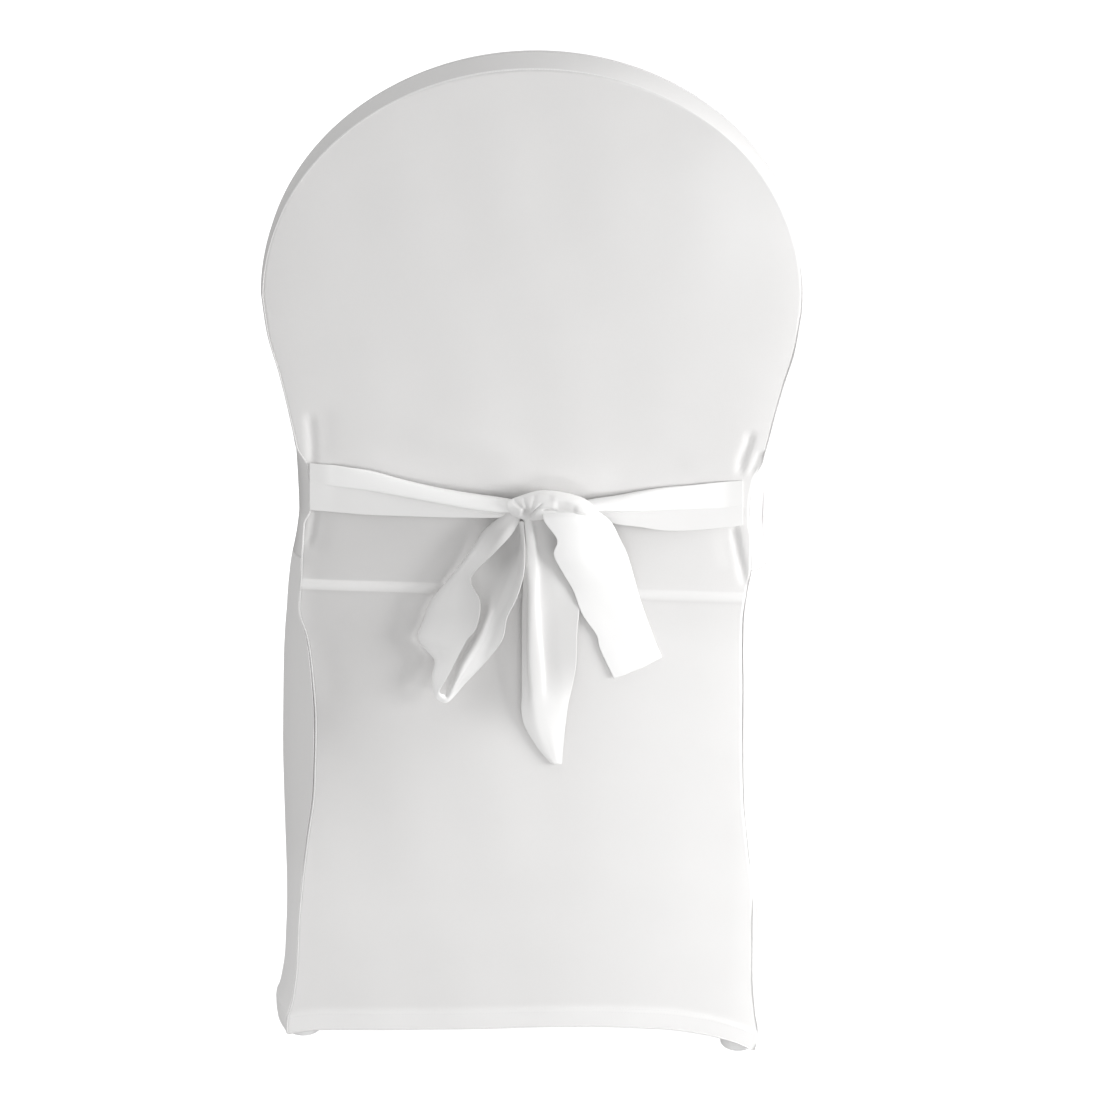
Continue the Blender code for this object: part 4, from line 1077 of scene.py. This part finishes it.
# ---- centre tail -------------------------------------------------------------------------------
# The end that hangs behind, with a raised pleat down its left side and a slanting, pointed end
# that lies almost against the skirt.
CENTRE_TAIL = (
    ((-4.4, 510.7, 13), (-3, 511.4, 15), (-1.6, 512, 17), (2, 512.4, 18),
     (6, 511.9, 16), (13, 511.4, 14), (21, 510.9, 12)),
    ((-4.1, 489.9, 11), (-2.2, 491.8, 14), (-0.3, 493, 17.5), (5.1, 493.3, 18),
     (9.5, 492.2, 14), (19, 491.9, 12.5), (30, 491.8, 12)),
    ((-3.6, 465.9, 9), (-1.3, 468, 11.5), (1.1, 470.2, 14), (7.3, 470.4, 14),
     (13, 469.2, 11.5), (23, 469.1, 11), (35.5, 469.4, 9)),
    ((-3.2, 441.6, 8), (0.1, 445.2, 11), (2.6, 448.2, 14), (8.3, 448.2, 13.8),
     (13, 445.9, 9), (26.4, 447.1, 7), (39.8, 448.8, 5)),
    ((-3.7, 422.9, 7), (0.5, 427, 11), (3, 430.4, 14.5), (9.2, 431.3, 14),
     (13.3, 428.1, 7.5), (29.4, 429.6, 5), (47.3, 432.5, 3.2)),
    ((-3.2, 394.7, 6.5), (1.1, 399.3, 11), (3.6, 403.1, 15), (11.6, 403.9, 14.3),
     (15.7, 400.4, 9), (31, 402.8, 8), (46.2, 404.7, 7)),
    ((-2.7, 366.6, 6.5), (2.1, 371.1, 10.5), (4.6, 374.9, 15), (14.9, 375.8, 14.3),
     (18.2, 374.1, 10), (33.4, 375.3, 9.5), (46, 376.7, 8.5)),
    ((-2.2, 344.9, 6), (3.4, 349.5, 10), (6.7, 353.7, 13.5), (15.2, 355.8, 13.5),
     (20.5, 354.6, 11.5), (33.9, 354.3, 10.5), (42.9, 355.9, 9)),
    ((-2.4, 330.7, 5.5), (2.8, 331.8, 8.5), (8.3, 335.5, 11.5), (15.5, 337.8, 12),
     (22.6, 338.6, 11.5), (32.5, 339.3, 10.5), (39.6, 339.6, 9)),
    ((0.9, 314.7, 3.6), (6.6, 313.4, 6), (12.1, 313.3, 7.5), (17.5, 314.8, 8),
     (23.8, 316, 8), (31, 316.8, 7.2), (37.3, 317.4, 6)),
    ((13.1, 294, 2.6), (16.9, 293.9, 4), (20.5, 294.4, 4.8), (24.1, 295.7, 5.2),
     (27.8, 295.7, 5.2), (32.2, 296.6, 4.5), (35.8, 296.3, 3.8)),
    ((25.2, 280, 2.2), (26.6, 279.9, 2.8), (28, 279.5, 3.2), (29.8, 279.7, 3.3),
     (31.6, 279.7, 3.2), (33.4, 279.5, 2.8), (34.8, 279.3, 2.4)))
along, across = places(CENTRE_TAIL)
# painted shadow of the right tail: the upper part greyer, most on the main face
painted_shade = ease((9.0 - along) / 3.5) * (0.30 + 0.22 * ease((across - 3.1) / 0.6))
centre_tail = strip("sash_tail_centre", CENTRE_TAIL, SASH_KNIT, ["tail_centre"], -painted_shade)


# ---- right tail --------------------------------------------------------------------------------
# The end that comes out over the knot and hangs in front at full width, down to a slanting cut
# end that lies almost against the skirt.
RIGHT_TAIL = (
    ((15.4, 523.9, 18), (25.2, 527, 20), (34.9, 528.8, 22),
     (44.6, 529.1, 22), (53.4, 526.6, 19), (61.4, 520.4, 14)),
    ((14.7, 515.3, 29), (26.4, 516.9, 31), (38.8, 517.9, 32),
     (50.3, 517.9, 31), (61.7, 516.3, 27.5), (74, 513, 21.5)),
    ((26.7, 497.1, 26.5), (36.6, 498.3, 27.6), (48, 499.8, 27.5),
     (60.4, 499.4, 25), (71.8, 498.6, 21.5), (82.5, 495.6, 16.5)),
    ((24, 481.4, 21), (36, 480.6, 21.9), (49.3, 479.9, 21.5),
     (63.5, 480.3, 19), (76.7, 481.5, 16), (89, 481.5, 12.5)),
    ((32.7, 462.3, 13.8), (45.3, 461.6, 14.4), (57.7, 460.7, 13.8),
     (71, 460.3, 12.4), (84.3, 460.7, 10.4), (94.9, 461.7, 8.2)),
    ((41.9, 444.7, 7.6), (51.8, 443.8, 8), (64.3, 443, 7.8),
     (76.7, 442.7, 7), (89.2, 442.1, 6), (100.7, 441.5, 5)),
    ((50.3, 421.8, 3.6), (61.1, 421.9, 3.9), (71.8, 422.1, 3.8),
     (83.4, 421.9, 3.6), (95, 422.5, 3.2), (106.6, 423.9, 2.6)),
    ((63.2, 403, 2.6), (70.4, 402.8, 2.8), (80.3, 403.1, 2.8),
     (91, 404.1, 2.8), (101.7, 405.8, 2.6), (113.3, 406.5, 2.2)),
    ((67.1, 389.2, 2.3), (77, 388.2, 2.6), (86.9, 389.6, 2.6),
     (96.7, 391.6, 2.6), (106.5, 394.4, 2.4), (117.2, 396.1, 2)),
    ((80.3, 362.1, 2), (88.4, 365.3, 2.4), (96.4, 369.1, 2.4),
     (105.3, 373.1, 2.4), (114.1, 378.3, 2.2), (123, 383.4, 1.8)))
# painted light: the right tail is whiter all over, as it stands nearest the key light
right_tail = strip("sash_tail_right", RIGHT_TAIL, SASH_KNIT, ["tail_right"],
                   np.full(from_net(RIGHT_TAIL).shape[:2], 0.9))


# ---- the studio --------------------------------------------------------------------------------
# A pale floor that runs out to a plain white surround. The key light stands to the right, with a
# low one before the hem, a weak one from the left and a broad one above; the camera is at standing
# height and looks down at the rear of the chair.
def plain(name, colour, roughness, glow):
    """A plain surface that glows by itself, so that it stays white."""
    made = Shader(name)
    tone = made.mix(made.noise(1.2, 2.0), [0.985 * c for c in colour], colour)
    return made.finish(Base_Color=tone, Roughness=roughness,
                       Emission_Color=(*colour, 1), Emission_Strength=glow)


FLOOR_REACH = 14.0
FLOOR_DROP = 0.4 * MM                 # so that it doesn't cut the foot pockets' soles
WORLD_LIGHT = 0.568
bpy.ops.mesh.primitive_plane_add(size=2 * FLOOR_REACH, location=(0, 0, -FLOOR_DROP))
floor = bpy.context.object
floor.name = "floor"
floor.data.materials.append(plain("floor_white", (0.90, 0.90, 0.90), 0.9, 0.95))
floor.visible_diffuse = False
floor.visible_glossy = False

bpy.ops.mesh.primitive_uv_sphere_add(radius=FLOOR_REACH - 0.5, segments=48, ring_count=24)
surround = bpy.context.object
surround.name = "surround"
surround.data.shade_smooth()
surround.data.materials.append(plain("surround_white", (1.0, 1.0, 1.0), 1.0, 1.0))
for seen_by in ("diffuse", "glossy", "transmission", "volume_scatter", "shadow"):
    setattr(surround, "visible_" + seen_by, False)

world = bpy.context.scene.world or bpy.data.worlds.new("studio")
bpy.context.scene.world = world
world.use_nodes = True
world.node_tree.nodes["Background"].inputs["Color"].default_value = (1.0, 1.0, 1.0, 1)
world.node_tree.nodes["Background"].inputs["Strength"].default_value = WORLD_LIGHT


def soft_light(name, place, target, size, power):
    """A rectangular lamp at a place, turned to a target."""
    lamp = bpy.data.lights.new(name, "AREA")
    lamp.shape = "RECTANGLE"
    lamp.size, lamp.size_y = size
    lamp.energy = power
    made = bpy.data.objects.new(name, lamp)
    made.location = place
    made.rotation_euler = (Vector(target) - Vector(place)).to_track_quat("-Z", "Y").to_euler()
    made.visible_camera = False
    bpy.context.scene.collection.objects.link(made)


soft_light("key", (1.40, -0.70, 0.60), (0.05, -0.20, 0.42), (0.5, 0.5), 17.0)
soft_light("low", (0.35, -1.00, 0.06), (0.05, -0.25, 0.12), (0.9, 0.10), 1.55)
soft_light("left", (-1.60, -0.60, 0.25), (-0.20, -0.10, 0.20), (0.8, 0.5), 1.8)
soft_light("above", (0.20, -0.50, 2.40), (0.00, -0.10, 0.70), (1.4, 1.0), 7.6)

YAW, PITCH, ROLL = math.radians(1.89), math.radians(17.867), math.radians(1.172)
EYE_HEIGHT, DISTANCE, EYE_SHIFT = 1.434, 2.9997, 0.0186
FOCAL_PIXELS, IMAGE_PIXELS, SENSOR = 3478, 1100, 36.0
ahead = Vector((-math.sin(YAW) * math.cos(PITCH), math.cos(YAW) * math.cos(PITCH), -math.sin(PITCH)))
level = Vector((math.cos(YAW), math.sin(YAW), 0))
upright = level.cross(ahead)
camera = bpy.data.objects.new("camera", bpy.data.cameras.new("camera"))
camera.data.sensor_width = SENSOR
camera.data.lens = FOCAL_PIXELS / IMAGE_PIXELS * SENSOR
axes = Matrix((level * math.cos(ROLL) + upright * math.sin(ROLL),
               upright * math.cos(ROLL) - level * math.sin(ROLL), -ahead)).transposed()
eye = Vector((DISTANCE * math.sin(YAW) + EYE_SHIFT, DATUM_Y - DISTANCE * math.cos(YAW), EYE_HEIGHT))
camera.matrix_world = Matrix.Translation(eye) @ axes.to_4x4()
bpy.context.scene.collection.objects.link(camera)
bpy.context.scene.camera = camera
bpy.context.scene.view_settings.view_transform = "Standard"
